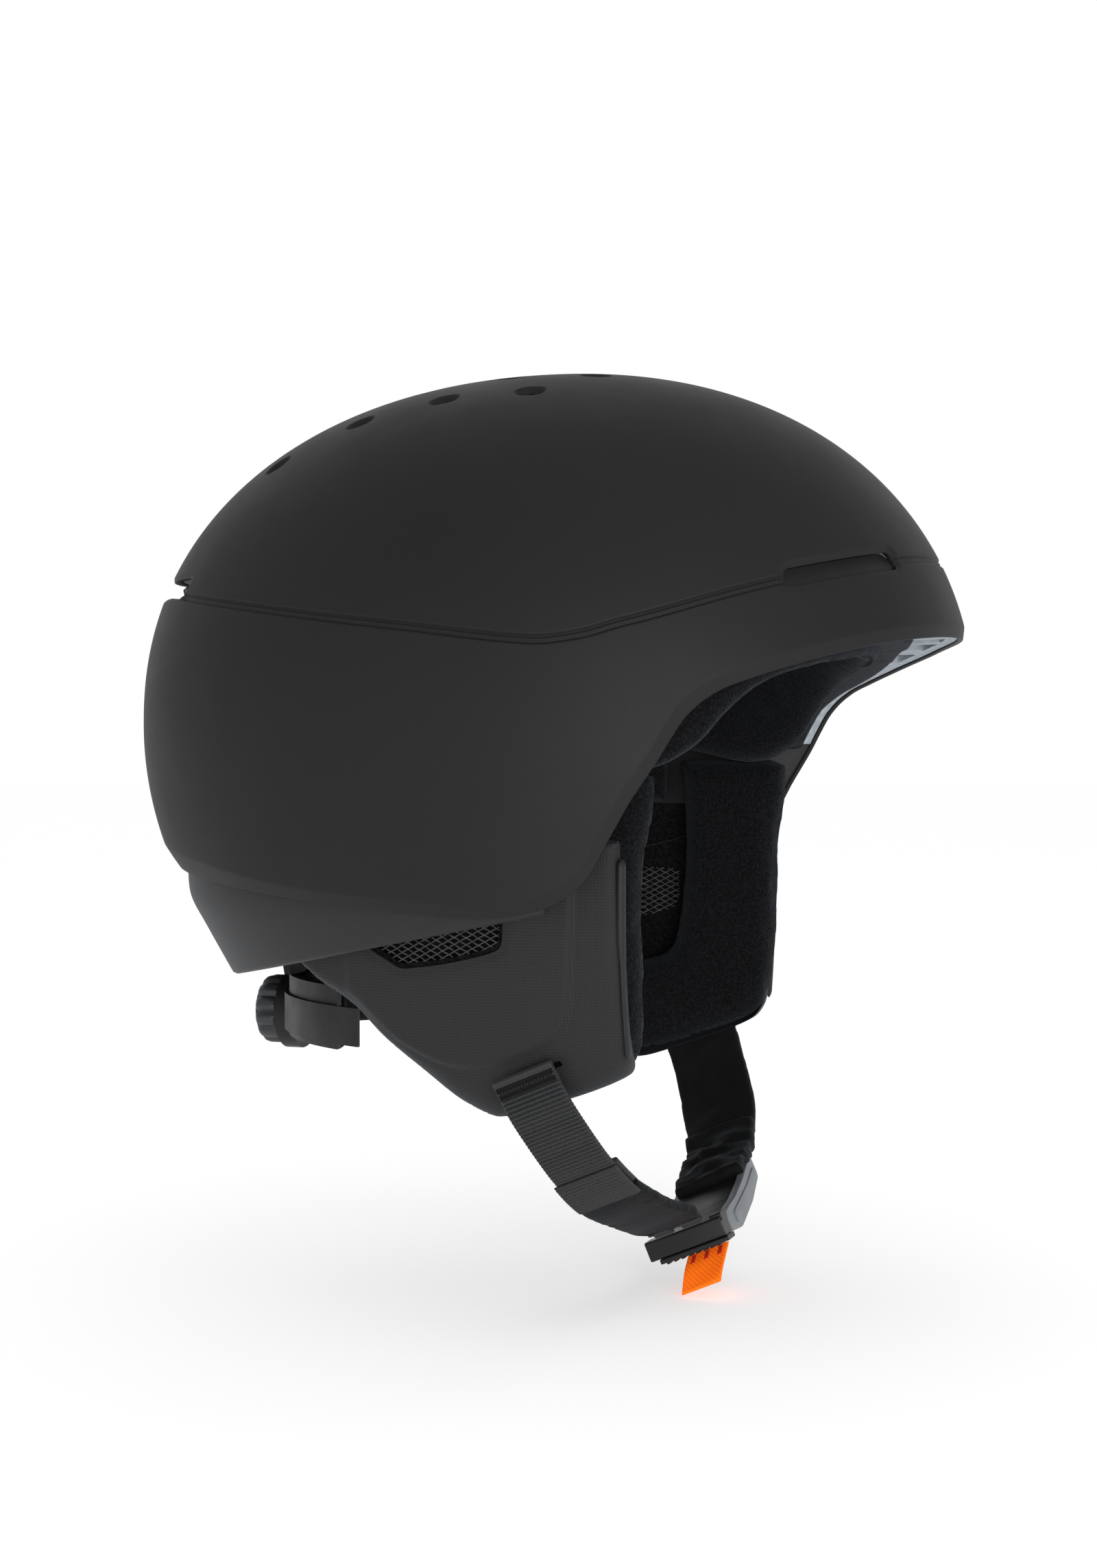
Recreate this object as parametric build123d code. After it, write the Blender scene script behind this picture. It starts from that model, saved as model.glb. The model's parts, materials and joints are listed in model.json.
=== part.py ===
from build123d import *
import os
from math import cos, radians, sin, sqrt

# Ski helmet. Millimetres. X runs to the wearer's left, the face looks along -Y, Z is up.
# The origin lies on the symmetry plane, at the level of the shell's widest section.

# Outer shell: plan sections are two half ellipses that share one half width.
HALF_WIDTH = 112.0
FRONT_REACH = 130.0
REAR_REACH = 145.5
CROWN_HEIGHT = 113.5
CROWN_POWER = 2.2
PLAN_POWER = 2.17
SIDE_TUCK = 198.0
REAR_TUCK = 121.0
LOW_LEVEL = -62.0
SHELL_WALL = 3.0
LEAST_SOLID = 20.0
FAR = 220.0

# Foam liner and the space for the head.
LINER_GAP = 0.05
LINER_OUTER = SHELL_WALL + LINER_GAP
CAVITY_HALF_WIDTH = 86.5
CAVITY_FRONT = 104.0
CAVITY_REAR = 113.0
CAVITY_HEIGHT = 87.0
CAVITY_TUCK = 0.35
PAD_GAP = 0.1
DOT_WALL = 1.2
DOT_RADIUS = 7.0
PAD_OUTER = 1.3
PAD_DEPTH = 9.0
LINER_BOTTOM = -30.0

# Seam between the shells, and the openings in them.
SEAM_HALF = 1.0
SEAM_SINK = 0.8
VENT_LENGTH = 9.5
VENT_WIDTH = 7.6
VENT_PITCH = 28.3
OUTER_ROW_X = 52.0
OUTER_ROW_Y = -2.4
INNER_ROW_X = 28.0
INNER_ROW_Y = -15.9
ROW_COUNT = 4
BROW_SLOT_LENGTH = 27.0
BROW_SLOT_HEIGHT = 8.0
BROW_SLOT_TILT = 16.5
BROW_SLOT_CENTRE = (-100.6, 48.4)
BROW_SLOT_INNER_X = 26.0
REAR_SLOT_HALF = 66.0
REAR_SLOT_LOW = 41.4
REAR_SLOT_HIGH = 46.8
REAR_SLOT_START_Y = 60.0
TRAY_DEPTH = 9.0
TRAY_FLOOR = 7.0
TRAY_RIM = 2.0
INSERT_DEPTH = 8.0
INSERT_GROOVE = 3.4
CHANNEL_SIZE = (11, 9, 26)

# Ear pads: the outer face is an arc in plan, and draws in towards the bottom.
EAR_FACE_X = 98.6
EAR_FACE_RADIUS = 210.0
EAR_FACE_MID_Y = -18.0
EAR_ARC_HALF_ANGLE = 23.0
EAR_DRAW_START = -58.0
MESH_OUTER = 1.4
MESH_WALL = 1.0
WEBBING_LAYER_GAP = 0.2
EAR_COVER_WALL = 3.4
EAR_STRAP_LAYER = 2.4
EAR_CUSHION_INNER = 78.5
HINGE_Z = -60.0
HINGE_SLOPE = 0.213
FOLD_GAP = 1.2
PART_GAP = 0.4

# Chin strap: a flat loop in a plane that leans forward, with its own x and y.
STRAP_LEAN = 23.0
STRAP_PLANE_OFFSET = -27.0
RIVET_RADIUS = 4.0
RIVET_LENGTH = 1.9
WEBBING_WIDTH = 20.0
WEBBING_WALL = 1.8
SLEEVE_WIDTH = 22.0
SLEEVE_WALL = 3.6
FOLD_WALL = 5.0
CHIN_PAD_WIDTH = 26.5
CHIN_PAD_WALL = 4.0
LEFT_FOLD_WALL = 5.6
LOOP_WIDTH = 7.0

# Buckle and pull tab.
BUCKLE_WIDTH = 27.0
BUCKLE_MEET_X = -2.5
BUCKLE_GAP = 0.4
ARM_WALL = 3.0
STUD_RADIUS = 5.8
STUD_HEIGHT = 2.2
RIDGE_COUNT = 6
RIDGE_PITCH = 3.4
RIDGE_WIDTH = 1.6
TAB_WIDTH = 13.6
TAB_WALL = 1.4

# Fit system.
FIT_FRONT = 60.0
GRIP_COUNT = 12
PINION_TEETH = 10
DIAL_RADIUS = 11.5
DIAL_Z = -97.0
DIAL_REAR_Y = 111.0
DIAL_DEPTH = 8.0
SHAFT_RADIUS = 2.5
SHAFT_CLEARANCE = 0.08

# Goggle clip.
CLIP_WIDTH = 20.0
CLIP_HEIGHT = 30.0
CLIP_WALL = 1.8
CLIP_TOP_Z = 2.0
CLIP_MARGIN = 2.0
CLIP_BARREL_RADIUS = 1.7
CLIP_PIN_RADIUS = 0.9
CLIP_BASE_OUTER = 3.9
CLIP_BASE_INNER = 6.0

STRAP_TILT = radians(STRAP_LEAN)
STRAP_PLANE = Plane(
    origin=(0, -STRAP_PLANE_OFFSET * cos(STRAP_TILT), STRAP_PLANE_OFFSET * sin(STRAP_TILT)),
    x_dir=(1, 0, 0),
    z_dir=(0, -cos(STRAP_TILT), sin(STRAP_TILT)),
)
parts = {}


def oval(half_width, front, rear, z):
    """Plan section: a front and a rear half ellipse with one half width."""
    front_half = EllipticalCenterArc((0, 0), half_width, front, start_angle=180, arc_size=180)
    rear_half = EllipticalCenterArc((0, 0), half_width, rear, start_angle=0, arc_size=180)
    return Pos(0, 0, z) * make_face([front_half, rear_half])


def domed(half_width, front, rear, height, tuck):
    """Closed body: tucked skirt below the widest section, rounded crown above it."""
    sections = []
    for step in range(4):
        z = LOW_LEVEL * (1 - step / 4)
        side = half_width * sqrt(1 - (tuck * z / SIDE_TUCK) ** 2)
        back = rear * sqrt(1 - (tuck * z / REAR_TUCK) ** 2)
        sections.append(oval(side, front, back, z))
    for angle in (0, 14, 28, 42, 56, 68, 78, 84):
        z = height * sin(radians(angle)) ** (2 / CROWN_POWER)
        scale_here = cos(radians(angle)) ** (2 / PLAN_POWER)
        sections.append(oval(half_width * scale_here, front * scale_here, rear * scale_here, z))
    sections.append(Vertex(0, 0, height))
    return loft(sections)


def shell_body(inset):
    """The shell's outer form, moved inwards."""
    return domed(
        HALF_WIDTH - inset, FRONT_REACH - inset, REAR_REACH - inset, CROWN_HEIGHT - inset, 1.0
    )


def cavity_body(inset):
    """The foam's inner form, moved towards the head."""
    return domed(
        CAVITY_HALF_WIDTH - inset,
        CAVITY_FRONT - inset,
        CAVITY_REAR - inset,
        CAVITY_HEIGHT - inset,
        CAVITY_TUCK,
    )


def side_prism(edges, low_x=-FAR, high_x=FAR):
    """Outline drawn in side view as (y, z), extruded along X from low_x to high_x."""
    face = Plane.YZ * make_face(edges)
    return Pos(low_x, 0, 0) * extrude(face, high_x - low_x, dir=(1, 0, 0))


def polygon_prism(points, low_x=-FAR, high_x=FAR):
    """Side-view polygon, extruded along X."""
    return side_prism(Polyline(*points, close=True).edges(), low_x, high_x)


def mirrored(solid):
    """The same piece on the other side of the symmetry plane."""
    return mirror(solid, about=Plane.YZ)


def rim_edges(lift=0.0):
    """Everything above the shell's lower edge, as a closed side-view outline."""
    points = [
        (-150, 28.6 + lift),
        (-121.7, 26.6 + lift),
        (-98.8, 20.2 + lift),
        (-73.5, 10.2 + lift),
        (-61.2, -3.4 + lift),
        (-46.3, -28.2 + lift),
        (-36.4, -44.9 + lift),
        (-20.3, -53.9 + lift),
        (-5.9, -55.9 + lift),
        (15.4, -54.9 + lift),
        (64.5, -51.7 + lift),
        (110.5, -48.2 + lift),
        (170, -44.5 + lift),
    ]
    lower = Spline(*points)
    over = Polyline(points[-1], (170, 200), (-150, 200), points[0])
    return [lower, *over.edges()]


def seam_edges(lift):
    """Everything above the seam line, as a closed side-view outline."""
    points = [
        (170, 45 + lift),
        (107.3, 40.6 + lift),
        (37.7, 31.7 + lift),
        (6, 27.6 + lift),
        (-25, 25.2 + lift),
        (-45.7, 29.7 + lift),
        (-86.2, 42.3 + lift),
        (-114.5, 50.4 + lift),
        (-150, 51.6 + lift),
    ]
    line = Spline(*points)
    over = Polyline(points[-1], (-150, 200), (170, 200), points[0])
    return [line, *over.edges()]


def brow_slot_prism(grow, side):
    """Slanted slot over one side of the forehead; side is -1 right or 1 left."""
    height = BROW_SLOT_HEIGHT + 2 * grow
    outline = SlotOverall(BROW_SLOT_LENGTH + 2 * grow, height, rotation=-BROW_SLOT_TILT)
    face = Plane.YZ * (Pos(*BROW_SLOT_CENTRE) * outline)
    solid = extrude(face, FAR, dir=(side, 0, 0))
    return Pos(side * (BROW_SLOT_INNER_X - grow), 0, 0) * solid


def vent_cutters():
    """Oval holes through the crown, each square to the shell where it stands."""
    cutters = []
    rows = ((OUTER_ROW_X, OUTER_ROW_Y), (INNER_ROW_X, INNER_ROW_Y))
    for row_x, first_y in rows:
        for side in (-1, 1):
            for step in range(ROW_COUNT):
                y = first_y + step * VENT_PITCH
                cutters.append(vent_cutter(side * row_x, y))
    return cutters


def vent_cutter(x, y):
    """One oval hole: the shell's height and slope at (x, y) place and tilt it."""
    reach = REAR_REACH if y > 0 else FRONT_REACH
    plan = sqrt((x / HALF_WIDTH) ** 2 + (y / reach) ** 2)
    z = CROWN_HEIGHT * (1 - plan ** PLAN_POWER) ** (1 / CROWN_POWER)
    slope = (CROWN_HEIGHT / z) ** (CROWN_POWER - 1) * CROWN_HEIGHT * plan ** (PLAN_POWER - 2)
    normal = Vector(slope * x / HALF_WIDTH ** 2, slope * y / reach ** 2, 1)
    place = Plane(origin=(x, y, z), x_dir=(0, 1, -normal.Y), z_dir=normal)
    hole = place * SlotOverall(VENT_LENGTH, VENT_WIDTH)
    return extrude(hole, 45, both=True)


def rear_slot_box(narrower, taller):
    """Room of the vent across the back, changed in width and height."""
    middle = (REAR_SLOT_LOW + REAR_SLOT_HIGH) / 2
    return Pos(0, REAR_SLOT_START_Y, middle) * Box(
        2 * REAR_SLOT_HALF - narrower,
        FAR,
        REAR_SLOT_HIGH - REAR_SLOT_LOW + taller,
        align=(Align.CENTER, Align.MIN, Align.CENTER),
    )


def make_shells():
    """Two hard shells with the seam strip between them."""
    wall = (shell_body(0) - shell_body(SHELL_WALL)) & side_prism(rim_edges())
    slots = [brow_slot_prism(0, side) for side in (-1, 1)]
    vents = vent_cutters()
    upper = wall & side_prism(seam_edges(SEAM_HALF))
    rear_slot = rear_slot_box(0, 0)
    below = Pos(0, REAR_SLOT_START_Y, 0) * Box(
        2 * REAR_SLOT_HALF, FAR, REAR_SLOT_HIGH, align=(Align.CENTER, Align.MIN, Align.MIN)
    )
    parts["upper_shell"] = upper - slots - vents - below
    lower = wall - side_prism(seam_edges(-SEAM_HALF))
    pocket = clip_block(CLIP_MARGIN) - shell_body(CLIP_BASE_INNER + LINER_GAP)
    parts["lower_shell"] = lower - slots - rear_slot - pocket
    band = shell_body(SEAM_SINK) - shell_body(SHELL_WALL)
    band = band & (side_prism(seam_edges(-SEAM_HALF)) - side_prism(seam_edges(SEAM_HALF)))
    slot_room = [brow_slot_prism(0, side) for side in (-1, 1)]
    parts["seam_strip"] = keep_large(band - slot_room - below)
    return pocket


def keep_large(shape, least=LEAST_SOLID):
    """Drops slivers that a cut leaves behind."""
    solids = [solid for solid in shape.solids() if solid.volume > least]
    return solids[0] if len(solids) == 1 else Compound(children=solids)


def make_vent_trays():
    """Dark trays behind the brow slots, and the insert of the rear vent."""
    room = shell_body(LINER_OUTER) - shell_body(TRAY_DEPTH)
    floor = shell_body(TRAY_FLOOR)
    cut = []
    for side, name in ((-1, "right"), (1, "left")):
        outer = room & brow_slot_prism(TRAY_RIM, side)
        hollow = brow_slot_prism(0, side) - floor
        parts["brow_vent_tray_" + name] = keep_large(outer - hollow)
        cut.append(brow_slot_prism(TRAY_RIM + LINER_GAP, side) - shell_body(TRAY_DEPTH + LINER_GAP))
    insert = (shell_body(LINER_OUTER) - shell_body(INSERT_DEPTH)) & rear_slot_box(2, 6)
    mouth = rear_slot_box(6, INSERT_GROOVE - REAR_SLOT_HIGH + REAR_SLOT_LOW)
    parts["rear_vent_insert"] = insert - (mouth - shell_body(INSERT_DEPTH - 1.5))
    rear_room = rear_slot_box(2 - 2 * LINER_GAP, 6 + 2 * LINER_GAP)
    cut.append(rear_room - shell_body(INSERT_DEPTH + LINER_GAP))
    return cut


def liner_outline():
    """The foam stops short of the rim, and level above the ear pads and neck panel."""
    points = [
        (-150, 29.4),
        (-121.7, 27.6),
        (-98.8, 21.4),
        (-73.5, 11.6),
        (-63.5, 1.5),
        (-55, -12),
        (-44.5, LINER_BOTTOM),
    ]
    lower = Spline(*points)
    over = Polyline(
        points[-1], (170, LINER_BOTTOM), (170, 200), (-150, 200), points[0]
    )
    return [lower, *over.edges()]


def make_liner(cuts, clip_pocket):
    """Foam body with air channels under the brim."""
    foam = (shell_body(LINER_OUTER) - cavity_body(0)) & side_prism(liner_outline())
    foam = foam - cuts - vent_cutters() - clip_pocket
    middle_front = (CAVITY_FRONT + FRONT_REACH - LINER_OUTER) / 2
    middle_side = (CAVITY_HALF_WIDTH + HALF_WIDTH - LINER_OUTER) / 2
    channels = []
    for x in (-58, -34, 34, 58):
        y = -middle_front * sqrt(1 - (x / middle_side) ** 2) + 5
        channels.append(Pos(x, y, 24) * Rot(12, 0, x * 0.55) * Box(*CHANNEL_SIZE))
    parts["foam_liner"] = keep_large(foam - channels)


def make_pads():
    """Comfort pads between the foam and the head."""
    layer = cavity_body(PAD_OUTER) - cavity_body(PAD_DEPTH)
    lower_edge = [(-140, 24), (-98, 22), (-76, 12), (-56, -12.5), (-12, -12.5)]
    upper_edge = [(-12, 14), (-60, 46), (-140, 50)]
    brow = polygon_prism(lower_edge + upper_edge)
    parts["brow_pad"] = layer & brow
    crown = Pos(0, 0, 60) * Box(66, 120, 80, align=(Align.CENTER, Align.CENTER, Align.MIN))
    parts["crown_pad"] = layer & crown
    side = polygon_prism([(-9, -12), (48, -12), (52, 46), (-9, 36)], 20, FAR)
    parts["side_pad_left"] = layer & side
    parts["side_pad_right"] = mirrored(parts["side_pad_left"])
    nape = Pos(0, 60, -14) * Box(96, 90, 44, align=(Align.CENTER, Align.MIN, Align.MIN))
    parts["nape_pad"] = layer & nape


def make_hook_dots():
    """Hook-tape dots on the foam behind the crown, side and nape pads."""
    ring = cavity_body(PAD_GAP) - cavity_body(DOT_WALL)
    rods = []
    for side in (-1, 1):
        for y in (10, 34):
            rods.append(Pos(side * 80, y, 16) * Rot(0, 90, 0) * Cylinder(DOT_RADIUS, 40))
        rods.append(Pos(side * 26, 106, 8) * Rot(90, 0, 0) * Cylinder(DOT_RADIUS, 40))
        rods.append(Pos(0, side * 34, 86) * Cylinder(DOT_RADIUS, 40))
    dots = []
    for rod in rods:
        dots += (ring & rod).solids()
    parts["hook_dots"] = Compound(children=dots)


def neck_outline():
    """Side view of the neck panel, from the hidden top edge to the straight lower edge."""
    return [(-11.5, -54.2), (-8, -31), (150, -31), (150, -91.6), (-11.5, -56.8)]


def make_neck_panel():
    """Fabric-covered roll under the shell at the sides and back."""
    outer_levels = ((-92, 90, 108), (-76, 96.4, 118.4), (-66, 100, 124.6), (-56, 102.4, 130.2))
    outer_levels += ((-47, 103.2, 131), (-30, 103.2, 131))
    inner_levels = ((-92, 87, 102), (-76, 93.6, 113.2), (-66, 97.2, 118), (-56, 99.8, 122))
    inner_levels += ((-47, 99.8, 123), (-30, 99.8, 124))
    outer = loft([oval(width, FRONT_REACH, rear, z) for z, width, rear in outer_levels])
    inner = loft([oval(width, FRONT_REACH, rear, z) for z, width, rear in inner_levels])
    parts["neck_panel"] = (outer - inner) & polygon_prism(neck_outline())


def hinge_z(y):
    """Height of the ear pad's fold line, which follows the neck panel's lower edge."""
    return HINGE_Z - HINGE_SLOPE * y


def ear_section(outer_x, inner_x, z):
    """Plan slice of an ear-pad layer on the left side, between two concentric arcs."""
    centre = Vector(outer_x - EAR_FACE_RADIUS, EAR_FACE_MID_Y)
    half = EAR_ARC_HALF_ANGLE
    inner_radius = EAR_FACE_RADIUS - (outer_x - inner_x)
    outer_arc = CenterArc(centre, EAR_FACE_RADIUS, -half, 2 * half)
    inner_arc = CenterArc(centre, inner_radius, -half, 2 * half)
    ends = [Line(outer_arc @ 0, inner_arc @ 0), Line(outer_arc @ 1, inner_arc @ 1)]
    return Pos(0, 0, z) * make_face([outer_arc, inner_arc, *ends])


def ear_draw(z):
    """How far the ear pad draws in below its upper edge."""
    depth = max(0.0, EAR_DRAW_START - z)
    return 0.06 * depth + 0.003 * depth ** 2


def ear_layer(outer, inner, follow=1.0):
    """One layer of the left ear pad, outer and inner being distances from the pad's face."""
    sections = []
    for z in (-124, -110, -96, -82, -68, -56, -26):
        draw = ear_draw(z)
        outer_x = EAR_FACE_X - draw - outer
        inner_x = EAR_FACE_X - draw * follow - inner
        sections.append(ear_section(outer_x, inner_x, z))
    return loft(sections)


def webbing_layer():
    """The thin layer between cover and cushion where the webbing runs."""
    outer = EAR_COVER_WALL + WEBBING_LAYER_GAP
    return ear_layer(outer, EAR_COVER_WALL + EAR_STRAP_LAYER - WEBBING_LAYER_GAP)


def fold_side(below):
    """Everything on one side of the fold line, leaving half the fold gap."""
    shift = -FOLD_GAP / 2 if below else FOLD_GAP / 2
    far_z = -200 if below else 0
    return polygon_prism(
        [(-90, hinge_z(-90) + shift), (90, hinge_z(90) + shift), (90, far_z), (-90, far_z)]
    )


def ear_outline():
    """Side view of the ear cover: straight front, rounded bottom, long slanted rear edge."""
    front = Line((-44.8, -20), (-44.6, -94))
    corner = ThreePointArc((-44.6, -94), (-42.6, -101.5), (-34, -106.6))
    sole = Line((-34, -106.6), (-8, -115.9))
    point = ThreePointArc((-8, -115.9), (2, -117.6), (11, -112.8))
    slant = Line((11, -112.8), (43, -85.4))
    shoulder = Polyline((43, -85.4), (57, -80.6), (66, -74.6), (66, -20), (-44.8, -20))
    return [front, corner, sole, point, slant, *shoulder.edges()]


def window_outline():
    """Side view of the hearing window's opening in the cover."""
    return [(-9.3, -50), (-9.3, -61), (-6, -65.2), (22, -71.4), (27, -71.2), (41, -62.5), (41, -50)]


def cushion_outline():
    """Side view of the plush cushion's outer edge."""
    top = Line((42, -13.6), (-49, -13.6))
    front = Polyline((-49, -13.6), (-49.6, -60), (-47.8, -92))
    corner = ThreePointArc((-47.8, -92), (-45, -101), (-36, -105.2))
    sole = Line((-36, -105.2), (-6, -114.2))
    point = ThreePointArc((-6, -114.2), (3, -114.4), (10, -110.4))
    back = Polyline((10, -110.4), (40, -84.6), (42, -80), (42, -13.6))
    return [top, *front.edges(), corner, sole, point, *back.edges()]


def ear_hole_outline():
    """Side view of the opening round the ear."""
    return [(-14.5, -10), (-13.6, -52), (-9.6, -77), (0, -85), (14, -82), (27, -70), (29, -10)]


def make_ear_pads():
    """Left ear pad in its layers; the right one is its mirror image."""
    below = fold_side(True)
    above = fold_side(False)
    outline = side_prism(ear_outline())
    window = polygon_prism(window_outline())
    cover = ear_layer(0, EAR_COVER_WALL) & outline
    slit = ear_strap_slit(WEBBING_WIDTH + 1.2, 3.4)
    left = {}
    left["ear_cover"] = keep_large((cover & below) - window - slit)
    inside = shell_body(SHELL_WALL + PART_GAP)
    tab_edge = polygon_prism([(-44.8, -32.5), (10, -32.5), (10, -90), (-44.8, -90)])
    left["ear_tab"] = keep_large(cover & above & tab_edge & inside)
    mesh_layer = ear_layer(MESH_OUTER, MESH_OUTER + MESH_WALL) & below
    left["ear_mesh"] = keep_large(mesh_layer & window & outline)
    cushion = ear_layer(EAR_COVER_WALL + EAR_STRAP_LAYER, EAR_FACE_X - EAR_CUSHION_INNER, 0.75)
    cushion = cushion & side_prism(cushion_outline()) - polygon_prism(ear_hole_outline())
    left["ear_cushion"] = keep_large(cushion & below)
    temple = cushion & above & cavity_body(PART_GAP)
    front_bar = polygon_prism([(-60, 0), (-5, 0), (-5, -90), (-60, -90)])
    left["temple_pad"] = keep_large(temple & front_bar)
    strip = ear_layer(0.4, EAR_COVER_WALL + 0.6) & below
    edge = polygon_prism([(-46.2, -40), (-46.2, -93), (-44.9, -93), (-44.9, -40)])
    left["ear_edge_strip"] = keep_large(strip & edge, 2.0)
    layer = webbing_layer()
    tail = polygon_prism([(-24.5, -97), (-4.5, -103), (-4.5, -72), (-24.5, -72)])
    left["strap_tail"] = keep_large(layer & tail & below)
    for name, solid in left.items():
        parts[name + "_left"] = solid
        parts[name + "_right"] = mirrored(solid)


def strap_point(x, y, across=0.0):
    """A place in the strap's plane, moved across the webbing, in helmet coordinates."""
    return STRAP_PLANE.from_local_coords(Vector(x, y, across))


def ear_strap_slit(width, depth):
    """The slit that the webbing leaves the cover through, on the left side."""
    block = Box(60, depth, width)
    return STRAP_PLANE * (Pos(90, -101.6, 0) * block)


def band(points, width, wall, side):
    """Flat strap: a smooth centre line in the strap's plane, given a wall and a width."""
    line = Spline(*[(side * x, y) for x, y in points])
    outer = offset_line(line, wall / 2)
    inner = offset_line(line, -wall / 2)
    face = make_face([outer, inner, Line(outer @ 0, inner @ 0), Line(outer @ 1, inner @ 1)])
    solid = extrude(STRAP_PLANE * face, width / 2, both=True)
    return solid


def offset_line(line, distance):
    """A smooth line beside another, at the same distance all along."""
    spans = 8
    points = []
    for step in range(spans + 1):
        here = line @ (step / spans)
        ahead = line % (step / spans)
        points.append(here + Vector(-ahead.Y, ahead.X) * distance)
    return Spline(*points)


def strap_block(points, low, high):
    """Outline in the strap's plane, extruded across it from low to high."""
    face = make_face(Polyline(*points, close=True).edges())
    return extrude(STRAP_PLANE.offset(low) * face, high - low)


def make_right_strap():
    """Ribbed webbing, stitched fold, smooth sleeve and the two loops on the buckle bar."""
    web = [(92.2, -101.8), (90.4, -109.5), (84.6, -120), (78.3, -129.3), (74, -134.2)]
    parts["strap_web_right"] = band(web, WEBBING_WIDTH, WEBBING_WALL, -1)
    fold = [(73.9, -134.3), (69.6, -138.2), (65, -141.4)]
    parts["strap_fold_right"] = band(fold, SLEEVE_WIDTH, FOLD_WALL, -1)
    sleeve = [(64.9, -141.5), (51, -148.6), (37, -154), (26, -157.6), (16, -160.8)]
    parts["strap_sleeve_right"] = band(sleeve, SLEEVE_WIDTH, SLEEVE_WALL, -1)
    loops = []
    outline = [(-14.2, -159.6), (-14.2, -163.2), (-11.1, -166), (-11.1, -162.4)]
    for low in (-LOOP_WIDTH - 1.5, 1.5):
        loops.append(strap_block(outline, low, low + LOOP_WIDTH))
    parts["strap_loops_right"] = Compound(children=loops)


def make_left_strap():
    """Wide soft sleeve, its stitched fold and the ribbed webbing that meets the receiver."""
    pad = [(93.4, -102.6), (91.8, -110.5), (86.4, -124), (77.8, -137), (67.4, -147.2)]
    parts["strap_pad_left"] = band(pad, CHIN_PAD_WIDTH, CHIN_PAD_WALL, 1)
    fold = [(67.2, -147.4), (62, -150.8), (56.4, -153.2)]
    parts["strap_fold_left"] = band(fold, SLEEVE_WIDTH + 2, LEFT_FOLD_WALL, 1)
    web = [(56.2, -153.3), (53.2, -154.6), (50.2, -155.9), (47.2, -157.1)]
    parts["strap_web_left"] = band(web, WEBBING_WIDTH, WEBBING_WALL, 1)


def make_buckle():
    """Magnetic buckle, closed: the two halves meet on a plane across the loop."""
    half = BUCKLE_WIDTH / 2
    meet = BUCKLE_MEET_X
    gap = BUCKLE_GAP / 2
    bar = strap_block(
        [(-11, -164.6), (-11, -171), (meet - gap, -171), (meet - gap, -164.6)], -half, half
    )
    bar_magnet = strap_block([(-7, -166), (-7, -169.6), (-4.4, -169.6), (-4.4, -166)], -6, 6)
    parts["buckle_bar"] = bar - bar_magnet
    parts["buckle_magnet_right"] = bar_magnet
    grip_outline = [(-10.6, -171.05), (-10.6, -172.6), (-3.4, -172.6), (-3.4, -171.05)]
    ridge_outline = [(-10.2, -172.5), (-10.2, -173.2), (-3.8, -173.2), (-3.8, -172.5)]
    grip = strap_block(grip_outline, -7, half)
    ridges = []
    for step in range(RIDGE_COUNT):
        across = -5.2 + step * RIDGE_PITCH
        ridges.append(strap_block(ridge_outline, across, across + RIDGE_WIDTH))
    parts["buckle_grip"] = grip + ridges
    receiver = strap_block(
        [
            (meet + gap, -170.8),
            (9, -171.4),
            (30, -166.6),
            (46.8, -160.8),
            (46.8, -155.2),
            (36, -157.4),
            (14, -163.2),
            (4, -164.8),
            (meet + gap, -164.8),
        ],
        -half,
        half - ARM_WALL,
    )
    receiver_magnet = strap_block([(0.4, -166.2), (0.4, -169.8), (3, -169.8), (3, -166.2)], -6, 6)
    parts["buckle_receiver"] = receiver - receiver_magnet
    parts["buckle_magnet_left"] = receiver_magnet
    parts["buckle_arm"] = strap_block(
        [
            (meet + gap, -171.2),
            (10, -172),
            (31, -167.2),
            (47.4, -161.4),
            (47.4, -154.6),
            (36, -156.8),
            (14, -162.6),
            (4, -164.2),
            (meet + gap, -164.6),
        ],
        half - ARM_WALL + 0.02,
        half,
    )
    outwards = strap_point(0.31, -0.951) - strap_point(0, 0)
    stud_place = Plane(origin=strap_point(39.4, -163.5), x_dir=(1, 0, 0), z_dir=outwards)
    stud = stud_place * (Pos(0, 0, STUD_HEIGHT / 2) * Cylinder(STUD_RADIUS, STUD_HEIGHT))
    parts["buckle_stud"] = stud - receiver - parts["buckle_arm"]


def make_pull_tab():
    """Woven tab that hangs from the grip and is pulled to open the buckle."""
    tab = [(3.2, -174.6), (6.6, -176.8), (10, -179.6), (13.4, -183)]
    parts["pull_tab"] = band(tab, TAB_WIDTH, TAB_WALL, -1)


def upright_ring(outer, inner, low, high, first_y, last_y=FAR):
    """Curved upright wall between two ovals, kept between two depths."""
    outer_face = oval(outer[0], FIT_FRONT, outer[1], low)
    inner_face = oval(inner[0], FIT_FRONT, inner[1], low)
    wall = extrude(outer_face, high - low) - extrude(inner_face, high - low)
    span = Pos(0, first_y, 0) * Box(
        400, last_y - first_y, 400, align=(Align.CENTER, Align.MIN, Align.CENTER)
    )
    return wall & span


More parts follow.
